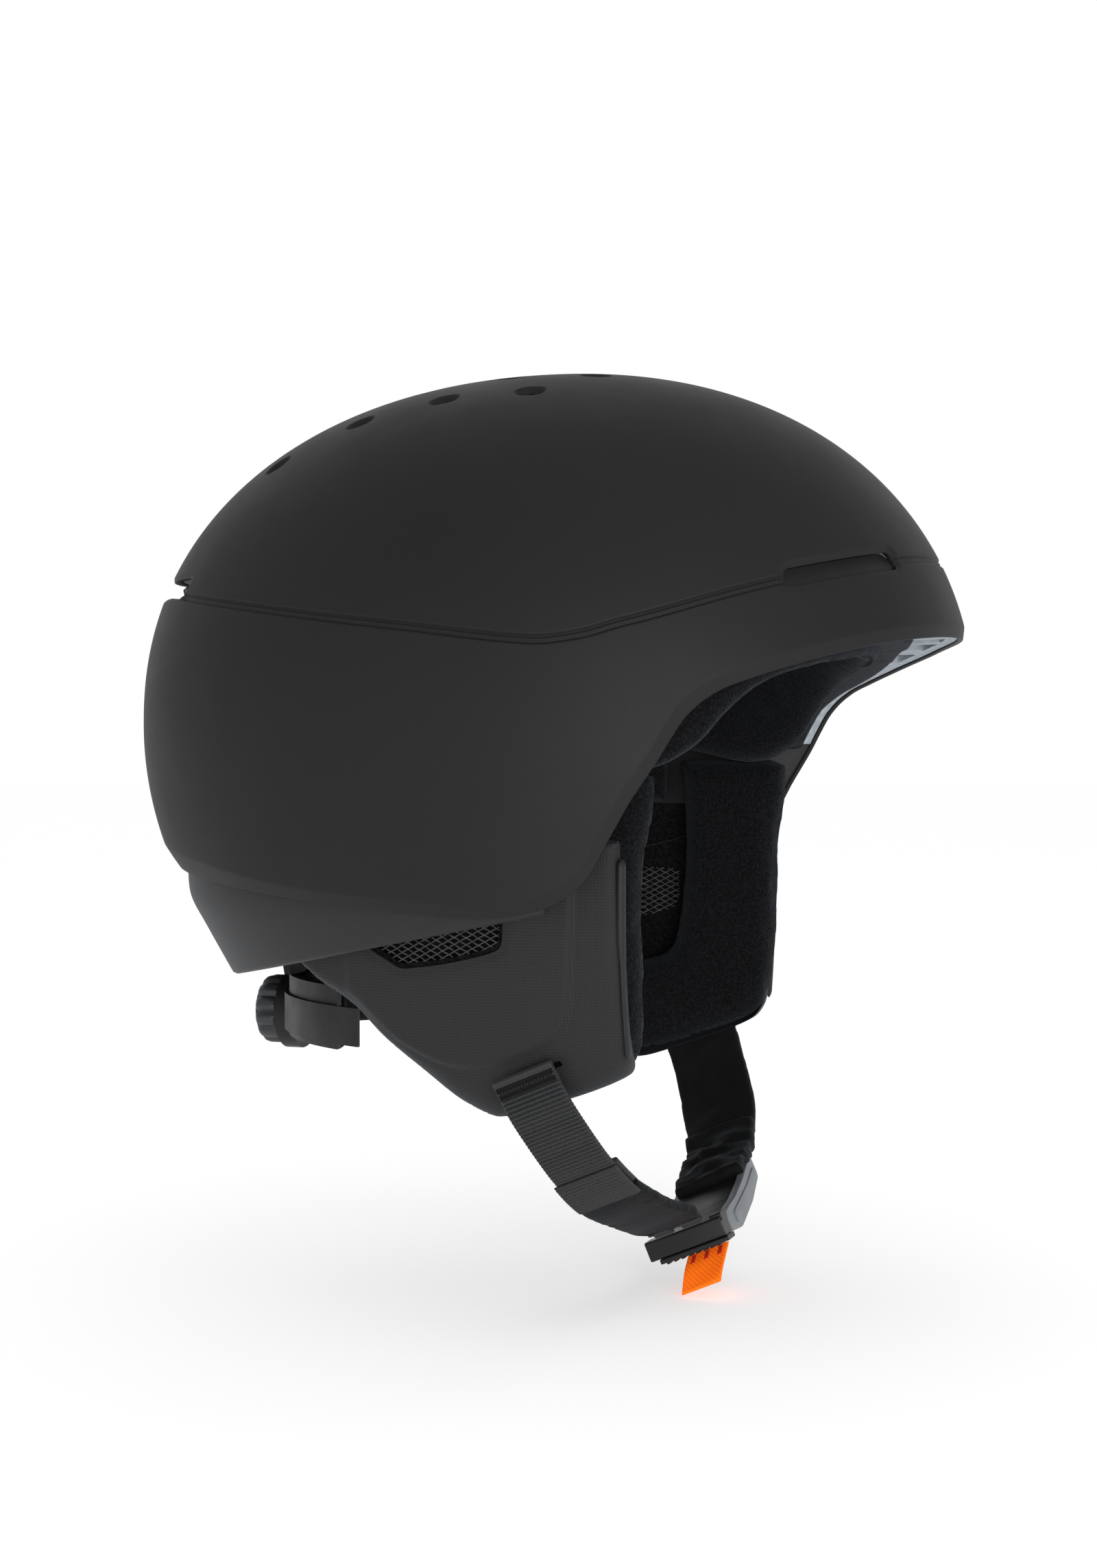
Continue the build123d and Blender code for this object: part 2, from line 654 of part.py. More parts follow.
def make_fit_system():
    """Cradle, pad, bands and arms that draw forward together, and the dial that draws them."""
    parts["cradle"] = upright_ring((74, 97), (71, 93.8), -102, -82, 60)
    parts["cradle_pad"] = upright_ring((70.9, 93.7), (65, 87.5), -103, -82.5, 62)
    bands = upright_ring((75.5, 98.6), (74.05, 97.05), -100, -88, 50, 95.9)
    for name, side in (("right", -1), ("left", 1)):
        half_space = Pos(side * 100, 0, 0) * Box(200 - 2 * 14.5, 400, 400)
        parts["fit_band_" + name] = keep_large(bands & half_space)
        arm = polygon_prism([(88.4, -81.95), (90.8, -81.95), (101.5, -22), (99.3, -22)], 18, 30)
        parts["cradle_arm_" + name] = arm if side > 0 else mirrored(arm)
    along = Pos(0, 0, DIAL_Z) * Rot(-90, 0, 0)
    housing = along * Pos(0, 0, 96) * Cylinder(13, 12.8)
    room = extrude(oval(74.05, FIT_FRONT, 97.05, -140), 120)
    pocket = along * Pos(0, 0, 99.2) * Cylinder(6.6, 4)
    bore = along * Pos(0, 0, 102) * Cylinder(SHAFT_RADIUS + SHAFT_CLEARANCE, 6)
    parts["dial_housing"] = housing - room - pocket - bore
    knob = along * Pos(0, 0, DIAL_REAR_Y - DIAL_DEPTH / 2) * Cylinder(DIAL_RADIUS, DIAL_DEPTH)
    knob = fillet(knob.edges().sort_by(Axis.Y)[-1], 1.6)
    for step in range(GRIP_COUNT):
        turn = 360 / GRIP_COUNT * step
        groove = along * Rot(0, 0, turn) * Pos(DIAL_RADIUS + 0.6, 0, DIAL_REAR_Y) * Cylinder(1.4, 24)
        knob = knob - groove
    shaft = along * Pos(0, 0, 101) * Cylinder(SHAFT_RADIUS, 6)
    parts["dial_knob"] = knob + shaft
    disc = along * Pos(0, 0, 99.4) * Cylinder(4.4, 2.4)
    teeth = []
    for step in range(PINION_TEETH):
        turn = 360 / PINION_TEETH * step
        teeth.append(along * Rot(0, 0, turn) * Pos(4.9, 0, 99.4) * Box(2.4, 1.4, 2.4))
    pinion = disc + teeth
    parts["dial_pinion"] = pinion - shaft


def clip_block(margin):
    """Room for the goggle clip at the back, grown by margin."""
    width = CLIP_WIDTH + 2 * margin
    height = CLIP_HEIGHT + 2 * margin
    return Pos(0, REAR_REACH, CLIP_TOP_Z - CLIP_HEIGHT / 2) * Box(width, 40, height)


def make_goggle_clip():
    """Sprung flap at the back that holds a goggle strap, with its pin and base."""
    axis_y = REAR_REACH - CLIP_BARREL_RADIUS - 0.2
    turned = Pos(0, axis_y, CLIP_TOP_Z) * Rot(0, 90, 0)
    barrel = turned * Cylinder(CLIP_BARREL_RADIUS, CLIP_WIDTH)
    bore = turned * Cylinder(CLIP_PIN_RADIUS + 0.05, 60)
    flap = (shell_body(0) - shell_body(CLIP_WALL)) & clip_block(0)
    parts["goggle_clip"] = flap + barrel - bore
    pin_length = CLIP_WIDTH + 2 * CLIP_MARGIN - 0.1
    parts["goggle_clip_pin"] = turned * Cylinder(CLIP_PIN_RADIUS, pin_length)
    base = shell_body(CLIP_BASE_OUTER) - shell_body(CLIP_BASE_INNER)
    parts["goggle_clip_base"] = base & clip_block(CLIP_MARGIN - 0.1)


def make_strap_anchors():
    """Webbing ends above the fold line, and the rivets that hold them to the shell's edge."""
    layer = webbing_layer()
    tail = polygon_prism([(-24.5, -40), (-24.5, -80), (-4.5, -80), (-4.5, -40)])
    left = keep_large(layer & tail & fold_side(False))
    head = Pos(EAR_FACE_X - EAR_COVER_WALL - EAR_STRAP_LAYER / 2, -14.5, -46) * Rot(0, 90, 0)
    rivet = head * Cylinder(RIVET_RADIUS, RIVET_LENGTH)
    parts["strap_anchor_left"] = left - rivet
    parts["strap_anchor_right"] = mirrored(left - rivet)
    parts["strap_rivets"] = Compound(children=[rivet, mirrored(rivet)])


clip_room = make_shells()
tray_rooms = make_vent_trays()
make_liner(tray_rooms, clip_room)
make_pads()
make_hook_dots()
make_neck_panel()
make_ear_pads()
make_right_strap()
make_left_strap()
make_buckle()
make_pull_tab()
make_fit_system()
make_goggle_clip()
make_strap_anchors()

os.makedirs("parts", exist_ok=True)
for name, shape in parts.items():
    export_step(shape, "parts/" + name + ".step")
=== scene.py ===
import json
import math
import bmesh
import bpy
import numpy as np
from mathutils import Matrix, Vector
from mathutils.kdtree import KDTree


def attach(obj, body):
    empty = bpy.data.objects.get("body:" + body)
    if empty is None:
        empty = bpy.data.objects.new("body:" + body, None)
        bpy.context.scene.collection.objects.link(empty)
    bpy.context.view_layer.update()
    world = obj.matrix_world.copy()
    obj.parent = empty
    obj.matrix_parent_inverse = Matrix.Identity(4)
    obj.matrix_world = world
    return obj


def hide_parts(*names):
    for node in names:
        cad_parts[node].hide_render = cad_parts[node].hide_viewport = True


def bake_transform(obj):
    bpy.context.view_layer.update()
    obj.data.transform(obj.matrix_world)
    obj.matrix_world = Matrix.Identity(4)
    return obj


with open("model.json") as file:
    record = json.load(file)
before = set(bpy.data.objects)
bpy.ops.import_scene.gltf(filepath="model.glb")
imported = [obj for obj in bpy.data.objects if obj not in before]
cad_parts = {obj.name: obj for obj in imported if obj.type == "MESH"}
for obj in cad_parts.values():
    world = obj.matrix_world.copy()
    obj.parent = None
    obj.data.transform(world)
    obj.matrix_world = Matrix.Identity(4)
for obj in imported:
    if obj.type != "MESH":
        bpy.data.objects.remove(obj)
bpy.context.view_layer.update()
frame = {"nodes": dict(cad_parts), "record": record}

MM = 0.001

# ---------------------------------------------------------------- camera, floor, lights


CAMERA_PLACE = (-0.79847, -0.25804, 0.00416)
CAMERA_WAY = (0.948, 0.3172, -0.0279)


def add_camera():
    """A camera on the helmet's right side and a little ahead of it, at its own height."""
    data = bpy.data.cameras.new("camera")
    data.sensor_fit = "VERTICAL"
    data.sensor_height = 36.0
    data.lens = 58.68
    data.clip_start = 0.01
    camera = bpy.data.objects.new("camera", data)
    bpy.context.collection.objects.link(camera)
    camera.location = CAMERA_PLACE
    camera.rotation_euler = Vector(CAMERA_WAY).to_track_quat("-Z", "Y").to_euler()
    bpy.context.scene.camera = camera


def area_light(name, place, target, size, power):
    """A rectangular lamp turned towards its target."""
    data = bpy.data.lights.new(name, "AREA")
    data.shape = "RECTANGLE"
    data.size, data.size_y = size
    data.energy = power
    light = bpy.data.objects.new(name, data)
    bpy.context.collection.objects.link(light)
    light.location = place
    light.rotation_euler = (Vector(target) - Vector(place)).to_track_quat("-Z", "Y").to_euler()


BRIGHT_WAY = (0.94, 0.32, -0.12)
FLOOR_HEIGHT, FLOOR_REACH = -0.1832, 6
WHITE = (1.0, 1.0, 1.0, 1.0)


def feed(tree, node, **inputs):
    """Sets or links a node's inputs by name, with spaces written as underscores."""
    for name, value in inputs.items():
        socket = node.inputs[name.replace("_", " ")]
        if isinstance(value, bpy.types.NodeSocket):
            tree.links.new(value, socket)
        else:
            socket.default_value = value
    return node


def set_world():
    """White surroundings: full strength behind the helmet's left side, half strength opposite."""
    world = bpy.data.worlds.new("studio")
    bpy.context.scene.world = world
    world.use_nodes = True
    tree = world.node_tree
    dot = tree.nodes.new("ShaderNodeVectorMath")
    dot.operation = "DOT_PRODUCT"
    dot.inputs[1].default_value = BRIGHT_WAY
    tree.links.new(tree.nodes.new("ShaderNodeTexCoord").outputs["Generated"], dot.inputs[0])
    spread = tree.nodes.new("ShaderNodeMapRange")
    feed(tree, spread, Value=dot.outputs["Value"], From_Min=0.1, From_Max=0.8, To_Min=0.5, To_Max=1.0)
    feed(tree, tree.nodes["Background"], Color=WHITE, Strength=spread.outputs["Result"])


def add_floor():
    """A wide pale floor under the lowest piece."""
    steps = 96
    turn = np.linspace(0, 2 * np.pi, steps, endpoint=False)
    rim = [(FLOOR_REACH * math.cos(a), FLOOR_REACH * math.sin(a), FLOOR_HEIGHT) for a in turn]
    data = bpy.data.meshes.new("floor")
    data.from_pydata(rim, [], [tuple(range(steps))])
    floor = bpy.data.objects.new("floor", data)
    bpy.context.collection.objects.link(floor)
    made = bpy.data.materials.new("floor")
    made.use_nodes = True
    tree = made.node_tree
    grain = feed(tree, tree.nodes.new("ShaderNodeTexNoise"), Scale=1.5)
    ramp = feed(tree, tree.nodes.new("ShaderNodeValToRGB"), Fac=grain.outputs["Fac"])
    ramp.color_ramp.elements[0].color = (0.93, 0.93, 0.93, 1)
    ramp.color_ramp.elements[1].color = (0.96, 0.96, 0.96, 1)
    base = feed(tree, tree.nodes["Principled BSDF"], Base_Color=ramp.outputs["Color"], Roughness=0.9)
    feed(tree, base, Specular_IOR_Level=0.1, Emission_Color=WHITE, Emission_Strength=0.42)
    floor.data.materials.append(made)


add_camera()
set_world()
add_floor()
area_light("key", (-1.3, -0.75, -0.02), (0, 0, -0.04), (0.9, 0.5), 14.0)
area_light("top", (-0.5, -0.4, 1.5), (0, 0, 0), (1.2, 1.2), 1.5)
bpy.context.scene.view_settings.view_transform = "Standard"

# ---------------------------------------------------------------- mesh tools


def edge_table(F):
    """Unique edges of a triangle mesh, and each face's three edge numbers."""
    a = np.concatenate([F[:, 0], F[:, 1], F[:, 2]])
    b = np.concatenate([F[:, 1], F[:, 2], F[:, 0]])
    low, high = np.minimum(a, b), np.maximum(a, b)
    key = low.astype(np.int64) * (F.max() + 1) + high
    unique, inverse = np.unique(key, return_inverse=True)
    edges = np.stack([unique // (F.max() + 1), unique % (F.max() + 1)], 1)
    return edges, inverse.reshape(3, len(F)).T


def rolled(F, marks, turn):
    """Faces and edge marks turned so that a chosen edge comes first."""
    pick = (np.arange(3) + turn[:, None]) % 3
    return np.take_along_axis(F, pick, 1), np.take_along_axis(marks, pick, 1)


def refine(V, F, wanted):
    """Splits the wanted edges in half and keeps the mesh closed up."""
    edges, face_edges = edge_table(F)
    marked = wanted(edges)
    number = np.full(len(edges), -1)
    number[marked] = len(V) + np.arange(marked.sum())
    V = np.vstack([V, V[edges[marked]].mean(1)])
    marks = number[face_edges]
    count = (marks >= 0).sum(1)
    out = [F[count == 0]]
    one = count == 1
    f, m = rolled(F[one], marks[one], np.argmax(marks[one] >= 0, 1))
    out += [np.stack([f[:, 0], m[:, 0], f[:, 2]], 1), np.stack([m[:, 0], f[:, 1], f[:, 2]], 1)]
    two = count == 2
    f, m = rolled(F[two], marks[two], (np.argmax(marks[two] < 0, 1) + 1) % 3)
    out += [
        np.stack([m[:, 0], f[:, 1], m[:, 1]], 1),
        np.stack([f[:, 0], m[:, 0], m[:, 1]], 1),
        np.stack([f[:, 0], m[:, 1], f[:, 2]], 1),
    ]
    three = count == 3
    f, m = F[three], marks[three]
    out += [
        np.stack([f[:, 0], m[:, 0], m[:, 2]], 1),
        np.stack([m[:, 0], f[:, 1], m[:, 1]], 1),
        np.stack([m[:, 2], m[:, 1], f[:, 2]], 1),
        m,
    ]
    return V, np.concatenate(out)


def compact(V, F):
    """The mesh without the points that no face uses."""
    used = np.unique(F)
    number = np.full(len(V), -1)
    number[used] = np.arange(len(used))
    return V[used], number[F]


def clip(V, F, g):
    """Keeps the part where g is positive, cut cleanly along g = 0."""
    V, g = V.copy(), g.copy()
    edges, _ = edge_table(F)
    ga, gb = g[edges[:, 0]], g[edges[:, 1]]
    cross = ga * gb < 0
    t = np.where(cross, ga / np.where(cross, ga - gb, 1), 0.5)
    spot = V[edges[:, 0]] + t[:, None] * (V[edges[:, 1]] - V[edges[:, 0]])
    for near, end in ((cross & (t < 0.25), 0), (cross & (t > 0.75), 1)):
        V[edges[near, end]] = spot[near]
        g[edges[near, end]] = 0
    edges, face_edges = edge_table(F)
    ga, gb = g[edges[:, 0]], g[edges[:, 1]]
    cross = ga * gb < 0
    t = ga[cross] / (ga[cross] - gb[cross])
    spot = V[edges[cross, 0]] + t[:, None] * (V[edges[cross, 1]] - V[edges[cross, 0]])
    number = np.full(len(edges), -1)
    number[cross] = len(V) + np.arange(cross.sum())
    V = np.vstack([V, spot])
    marks = number[face_edges]
    count = (marks >= 0).sum(1)
    whole = (count == 0) & (g[F].sum(1) > 0)
    out = [F[whole]]
    one = count == 1
    f, m = rolled(F[one], marks[one], np.argmax(marks[one] >= 0, 1))
    first = (g[f[:, 0]] > 0)[:, None]
    ahead = np.stack([f[:, 0], m[:, 0], f[:, 2]], 1)
    out.append(np.where(first, ahead, np.stack([m[:, 0], f[:, 1], f[:, 2]], 1)))
    two = count == 2
    f, m = rolled(F[two], marks[two], (np.argmax(marks[two] < 0, 1) + 1) % 3)
    tip = g[f[:, 1]] > 0
    out.append(np.stack([m[:, 0], f[:, 1], m[:, 1]], 1)[tip])
    out.append(np.stack([f[:, 0], m[:, 0], m[:, 1]], 1)[~tip])
    out.append(np.stack([f[:, 0], m[:, 1], f[:, 2]], 1)[~tip])
    return compact(V, np.concatenate(out))


def rim_of(F):
    """Directed boundary edges of a triangle mesh, in the faces' own direction."""
    a = np.concatenate([F[:, 0], F[:, 1], F[:, 2]])
    b = np.concatenate([F[:, 1], F[:, 2], F[:, 0]])
    size = F.max() + 1
    key = a.astype(np.int64) * size + b
    back = b.astype(np.int64) * size + a
    alone = ~np.isin(key, back)
    return np.stack([a[alone], b[alone]], 1)


def vertex_normals(V, F):
    """Unit normals at the points, weighted by the faces' areas."""
    cross = np.cross(V[F[:, 1]] - V[F[:, 0]], V[F[:, 2]] - V[F[:, 0]])
    N = np.zeros_like(V)
    for k in range(3):
        np.add.at(N, F[:, k], cross)
    return N / np.maximum(np.linalg.norm(N, axis=1, keepdims=True), 1e-12)


def outward(V, N, rim):
    """At each rim vertex, the direction that leaves the sheet in its own plane."""
    run = np.cross(V[rim[:, 1]] - V[rim[:, 0]], N[rim].mean(1))
    out = np.zeros_like(V)
    for k in (0, 1):
        np.add.at(out, rim[:, k], run)
    return out / np.maximum(np.linalg.norm(out, axis=1, keepdims=True), 1e-12)


def closed(V, F, back, rows=()):
    """A closed mesh: the sheet, its back, and a wall through the given rows of rim points."""
    rim = rim_of(F)
    ids = np.unique(rim)
    local = np.full(len(V), -1)
    local[ids] = np.arange(len(ids))
    rings = [ids]
    points = [V]
    start = len(V)
    for row in rows:
        points.append(row[ids])
        rings.append(start + np.arange(len(ids)))
        start += len(ids)
    points.append(back)
    rings.append(start + ids)
    quads = []
    for upper, lower in zip(rings[:-1], rings[1:]):
        a, b = local[rim[:, 0]], local[rim[:, 1]]
        quads.append(np.stack([upper[b], upper[a], lower[a], lower[b]], 1))
    tris = np.concatenate([F, start + F[:, ::-1]])
    return np.vstack(points), tris, np.concatenate(quads)


def thicken(V, N, F, wall, edge=0.4):
    """Sheet V given a wall behind it, with rounded rims."""
    rim = rim_of(F)
    out = outward(V, N, rim)
    wall = np.broadcast_to(np.asarray(wall, float).reshape(-1, 1), (len(V), 1))
    rows = [
        V + out * edge * 0.7 - N * edge * 0.3,
        V + out * edge - N * edge,
        V + out * edge - N * (wall - edge),
        V + out * edge * 0.7 - N * (wall - edge * 0.3),
    ]
    return closed(V, F, V - N * wall, rows)


def build(name, V, *faces, smooth=35.0):
    """A Blender object from points in millimetres and arrays of triangles or quads."""
    faces = [f for f in faces if len(f)]
    mesh = bpy.data.meshes.new(name)
    mesh.vertices.add(len(V))
    mesh.vertices.foreach_set("co", (np.asarray(V) * MM).astype(np.float32).ravel())
    corners = np.concatenate([f.ravel() for f in faces]).astype(np.int32)
    sizes = np.concatenate([np.full(len(f), f.shape[1]) for f in faces]).astype(np.int32)
    mesh.loops.add(len(corners))
    mesh.loops.foreach_set("vertex_index", corners)
    mesh.polygons.add(len(sizes))
    starts = np.concatenate([[0], np.cumsum(sizes)[:-1]]).astype(np.int32)
    mesh.polygons.foreach_set("loop_start", starts)
    mesh.polygons.foreach_set("use_smooth", np.ones(len(sizes), bool))
    mesh.update(calc_edges=True)
    mesh.validate()
    if smooth:
        mesh.set_sharp_from_angle(angle=math.radians(smooth))
    obj = bpy.data.objects.new(name, mesh)
    bpy.context.collection.objects.link(obj)
    return obj


def joined(*parts):
    """Several (V, tris, quads) meshes as one."""
    points, tris, quads, start = [], [], [], 0
    for V, t, q in parts:
        points.append(V)
        tris.append(np.asarray(t, int).reshape(-1, 3) + start)
        quads.append(np.asarray(q, int).reshape(-1, 4) + start)
        start += len(V)
    return np.vstack(points), np.concatenate(tris), np.concatenate(quads)


def mirrored(V, *faces):
    """The same mesh on the other side of the symmetry plane."""
    return (V * np.array([-1.0, 1.0, 1.0]), *[f[:, ::-1] for f in faces])


def smoothstep(x, low, high):
    """Rises smoothly from 0 at low to 1 at high."""
    t = np.clip((x - low) / (high - low), 0, 1)
    return t * t * (3 - 2 * t)


def hermite(t, a, b, m, n):
    """A cubic from a to b whose slopes at the ends are m and n."""
    return (
        (1 + 2 * t) * (1 - t) ** 2 * a + t * (1 - t) ** 2 * m
        + t * t * (3 - 2 * t) * b + t * t * (t - 1) * n
    )


class Curve:
    """A smooth single-valued curve through points given in any order."""

    def __init__(self, points):
        self.x, self.y = np.array(sorted(points), float).T
        self.slope = np.gradient(self.y, self.x)

    def __call__(self, x):
        x = np.clip(x, self.x[0], self.x[-1])
        i = np.clip(np.searchsorted(self.x, x) - 1, 0, len(self.x) - 2)
        h = self.x[i + 1] - self.x[i]
        t = (x - self.x[i]) / h
        return hermite(t, self.y[i], self.y[i + 1], self.slope[i] * h, self.slope[i + 1] * h)


def smooth_loop(points, step=1.0, closed_loop=True, sharp=()):
    """Points along a Catmull-Rom line through the given ones."""
    P = np.array(points, float)
    n = len(P)
    out = []
    for i in range(n if closed_loop else n - 1):
        p1, p2 = P[i], P[(i + 1) % n]
        p0 = P[i - 1] if closed_loop or i > 0 else p1
        p3 = P[(i + 2) % n] if closed_loop or i + 2 < n else p2
        p0 = p1 if i in sharp else p0
        p3 = p2 if (i + 1) % n in sharp else p3
        length = np.linalg.norm(p2 - p1)
        count = max(1, int(round(length / step)))
        t = (np.arange(count) / count)[:, None]
        d1 = (p2 - p0) * length / max(length + np.linalg.norm(p1 - p0), 1e-9)
        d2 = (p3 - p1) * length / max(np.linalg.norm(p3 - p2) + length, 1e-9)
        out.append(hermite(t, p1, p2, d1, d2))
    if not closed_loop:
        out.append(P[-1:])
    return np.vstack(out)


def segment_distance(Q, a, b):
    """Distance of 2-D points to the segment from a to b."""
    d = b - a
    t = np.clip(((Q - a) @ d) / max(d @ d, 1e-12), 0, 1)
    return np.linalg.norm(Q - a - t[:, None] * d, axis=1)


def polygon_distance(Q, polygon):
    """Signed distance of 2-D points to a closed polygon, positive inside."""
    Q = np.asarray(Q, float)
    best = np.full(len(Q), 1e9)
    inside = np.zeros(len(Q), bool)
    for a, b in zip(polygon, np.roll(polygon, -1, 0)):
        best = np.minimum(best, segment_distance(Q, a, b))
        if a[1] != b[1]:
            crosses = (a[1] > Q[:, 1]) != (b[1] > Q[:, 1])
            at = a[0] + (Q[:, 1] - a[1]) / (b[1] - a[1]) * (b[0] - a[0])
            inside ^= crosses & (Q[:, 0] < at)
    return np.where(inside, best, -best)


def line_distance(Q, line):
    """Distance of 2-D points to an open line."""
    best = np.full(len(Q), 1e9)
    for a, b in zip(line[:-1], line[1:]):
        best = np.minimum(best, segment_distance(Q, a, b))
    return best


def rounded_box(u, v, half_u, half_v, radius):
    """Signed distance to a rounded rectangle, negative inside."""
    a = np.abs(u) - (half_u - radius)
    b = np.abs(v) - (half_v - radius)
    return np.hypot(np.maximum(a, 0), np.maximum(b, 0)) + np.minimum(np.maximum(a, b), 0) - radius


def grid_quads(rows, columns):
    """The quads of a grid whose points are numbered row by row."""
    index = np.arange(rows * columns).reshape(rows, columns)
    corners = [index[:-1, :-1], index[1:, :-1], index[1:, 1:], index[:-1, 1:]]
    return np.stack(corners, -1).reshape(-1, 4)


def sheet_grid(low, high, step):
    """A flat triangle grid over a rectangle."""
    nu = int(math.ceil((high[0] - low[0]) / step)) + 1
    nv = int(math.ceil((high[1] - low[1]) / step)) + 1
    across, up = np.linspace(low[0], high[0], nu), np.linspace(low[1], high[1], nv)
    u, v = np.meshgrid(across, up, indexing="ij")
    a, b, c, d = grid_quads(nu, nv).T
    flip = (np.add.outer(np.arange(nu - 1), np.arange(nv - 1)) % 2 == 0).ravel()
    first = np.where(flip[:, None], np.stack([a, b, c], 1), np.stack([a, b, d], 1))
    second = np.where(flip[:, None], np.stack([a, c, d], 1), np.stack([b, c, d], 1))
    return np.stack([u.ravel(), v.ravel()], 1), np.concatenate([first, second])


def icosphere(levels):
    """Directions spread evenly over a sphere, as a triangle mesh."""
    g = (1 + 5 ** 0.5) / 2
    V = np.array([(-1, g, 0), (1, g, 0), (-1, -g, 0), (1, -g, 0), (0, -1, g), (0, 1, g),
                  (0, -1, -g), (0, 1, -g), (g, 0, -1), (g, 0, 1), (-g, 0, -1), (-g, 0, 1)], float)
    F = np.array([(0, 11, 5), (0, 5, 1), (0, 1, 7), (0, 7, 10), (0, 10, 11), (1, 5, 9), (5, 11, 4),
                  (11, 10, 2), (10, 7, 6), (7, 1, 8), (3, 9, 4), (3, 4, 2), (3, 2, 6), (3, 6, 8),
                  (3, 8, 9), (4, 9, 5), (2, 4, 11), (6, 2, 10), (8, 6, 7), (9, 8, 1)])
    for _ in range(levels):
        V, F = refine(V, F, lambda edges: np.ones(len(edges), bool))
        V /= np.linalg.norm(V, axis=1, keepdims=True)
    return V, F


# ---------------------------------------------------------------- the helmet's forms

# Half width, reach to the front, reach to the rear and height of the crown, in millimetres.
SHELL = (112.0, 130.0, 145.5, 113.5)
CAVITY = (86.5, 104.0, 113.0, 87.0)


def form_field(P, sizes, tuck=1.0, plan_power=2.06):
    """Above 1 outside a domed form, below 1 inside it."""
    half, front, rear, crown = sizes
    x, y, z = P.T
    low = np.minimum(z, 0) * tuck
    side = half * np.sqrt(np.clip(1 - (low / 198) ** 2, 0.05, 1))
    reach = np.where(y > 0, rear * np.sqrt(np.clip(1 - (low / 121) ** 2, 0.05, 1)), front)
    plan = (np.abs(x / side) ** plan_power + np.abs(y / reach) ** plan_power) ** (1 / plan_power)
    return plan ** 2.17 + (np.maximum(z, 0) / crown) ** 2.2


def shell_field(P):
    """The helmet's outer form."""
    return form_field(P, SHELL)


def cavity_field(P):
    """The hollow for the head, inside the foam."""
    return form_field(P, CAVITY, 0.35, 2.0)


def gradient(field, P):
    """How a function of place rises along each axis, per millimetre."""
    step = 0.05
    G = np.zeros_like(P)
    for k in range(3):
        d = np.zeros(3)
        d[k] = step
        G[:, k] = (field(P + d) - field(P - d)) / (2 * step)
    return G


def unit(A):
    """Rows scaled to length one."""
    return A / np.maximum(np.linalg.norm(A, axis=1, keepdims=True), 1e-12)


def cast(field, start, way, far):
    """Where rays from inside a form leave it."""
    low, high = np.zeros(len(start)), np.full(len(start), far, float)
    for _ in range(26):
        mid = (low + high) / 2
        out = field(start + way * mid[:, None]) > 1
        high = np.where(out, mid, high)
        low = np.where(out, low, mid)
    return start + way * ((low + high) / 2)[:, None]


def place_on(field, way):
    """Where directions from the helmet's middle meet a form, and the form's normals there."""
    P = cast(field, np.zeros_like(way), way, 200)
    return P, unit(gradient(field, P))


def split_long(V, F, P, limit, near):
    """Halves the edges between places P that are longer than a limit and touch a marked place."""
    def wanted(edges):
        length = np.linalg.norm(P[edges[:, 0]] - P[edges[:, 1]], axis=1)
        return near[edges].any(1) & (length > limit)

    V, F = refine(V, F, wanted)
    return unit(V), F


def cut_directions(V, F, value, field=shell_field):
    """The part of a sheet of directions where value(P, N) is positive on a form."""
    V, F = clip(V, F, value(*place_on(field, V)))
    return unit(V), F


def along_surface(value, P, N):
    """A function of place turned into a distance measured along the surface."""
    G = gradient(value, P)
    G = G - N * (G * N).sum(1, keepdims=True)
    return value(P) / np.maximum(np.linalg.norm(G, axis=1), 1e-6)


# Seam between the shells, and their lower rim, as side-view curves z(y).
SEAM = Curve([
    (170, 48), (107.3, 40.6), (77.9, 36.7), (37.7, 31.7), (14.6, 29.1), (-6.8, 26.5), (-17, 25.5),
    (-25, 25.2), (-31, 25.9), (-37, 27), (-45.7, 29.7), (-54.7, 32.2), (-63.5, 35), (-72.2, 37.9),
    (-80.6, 40.6), (-86.2, 42.3), (-100, 46.9), (-114.5, 50.6), (-118, 51.5), (-135, 52),
])
RIM = Curve([
    (-135, 28.2), (-126.5, 27.5), (-121.7, 26.6), (-114.5, 25), (-106.8, 22.7), (-98.8, 20.2),
    (-90.5, 17.3), (-82.1, 14.1), (-73.5, 10.2), (-68.3, 6.3), (-64.8, 2.4), (-61.2, -3.4),
    (-57.6, -9.7), (-53.9, -15.5), (-50.1, -21.4), (-46.3, -28.2), (-42.4, -35.1), (-39.4, -40.6),
    (-36.4, -44.9), (-32.4, -48.5), (-26.4, -52), (-20.3, -53.9), (-14.2, -55.2), (-5.9, -55.9),
    (15.4, -54.9), (38.6, -53.5), (64.5, -51.7), (79.3, -50.6), (96.8, -49.2), (110.5, -48.2),
    (135, -46), (170, -45),
])


def seam_value(P):
    """Height above the seam between the two shells."""
    return P[:, 2] - SEAM(P[:, 1])


def rim_value(P):
    """Height above the shell's lower rim."""
    return P[:, 2] - RIM(P[:, 1])


# Brow slot: its middle line along the front of the shell, at the slot's own level.
_angle = np.radians(np.arange(0, 91, 1.0))
_plan = np.stack([103.9 * np.sin(_angle), 120.6 * np.cos(_angle)], 1)
_polar = np.degrees(np.arctan2(_plan[:, 0], _plan[:, 1]))
_arc = np.concatenate([[0], np.cumsum(np.linalg.norm(np.diff(_plan, axis=0), axis=1))])
SLOT_MIDDLE = Curve([
    (12, 51.4), (17.3, 50.2), (22, 49.2), (27, 47.8), (34, 45.5), (39.5, 43.5), (45, 41.6),
])
SLOT_ENDS = np.interp((17.6, 40.2), _polar, _arc)
SLOT_LEAN = 0.87


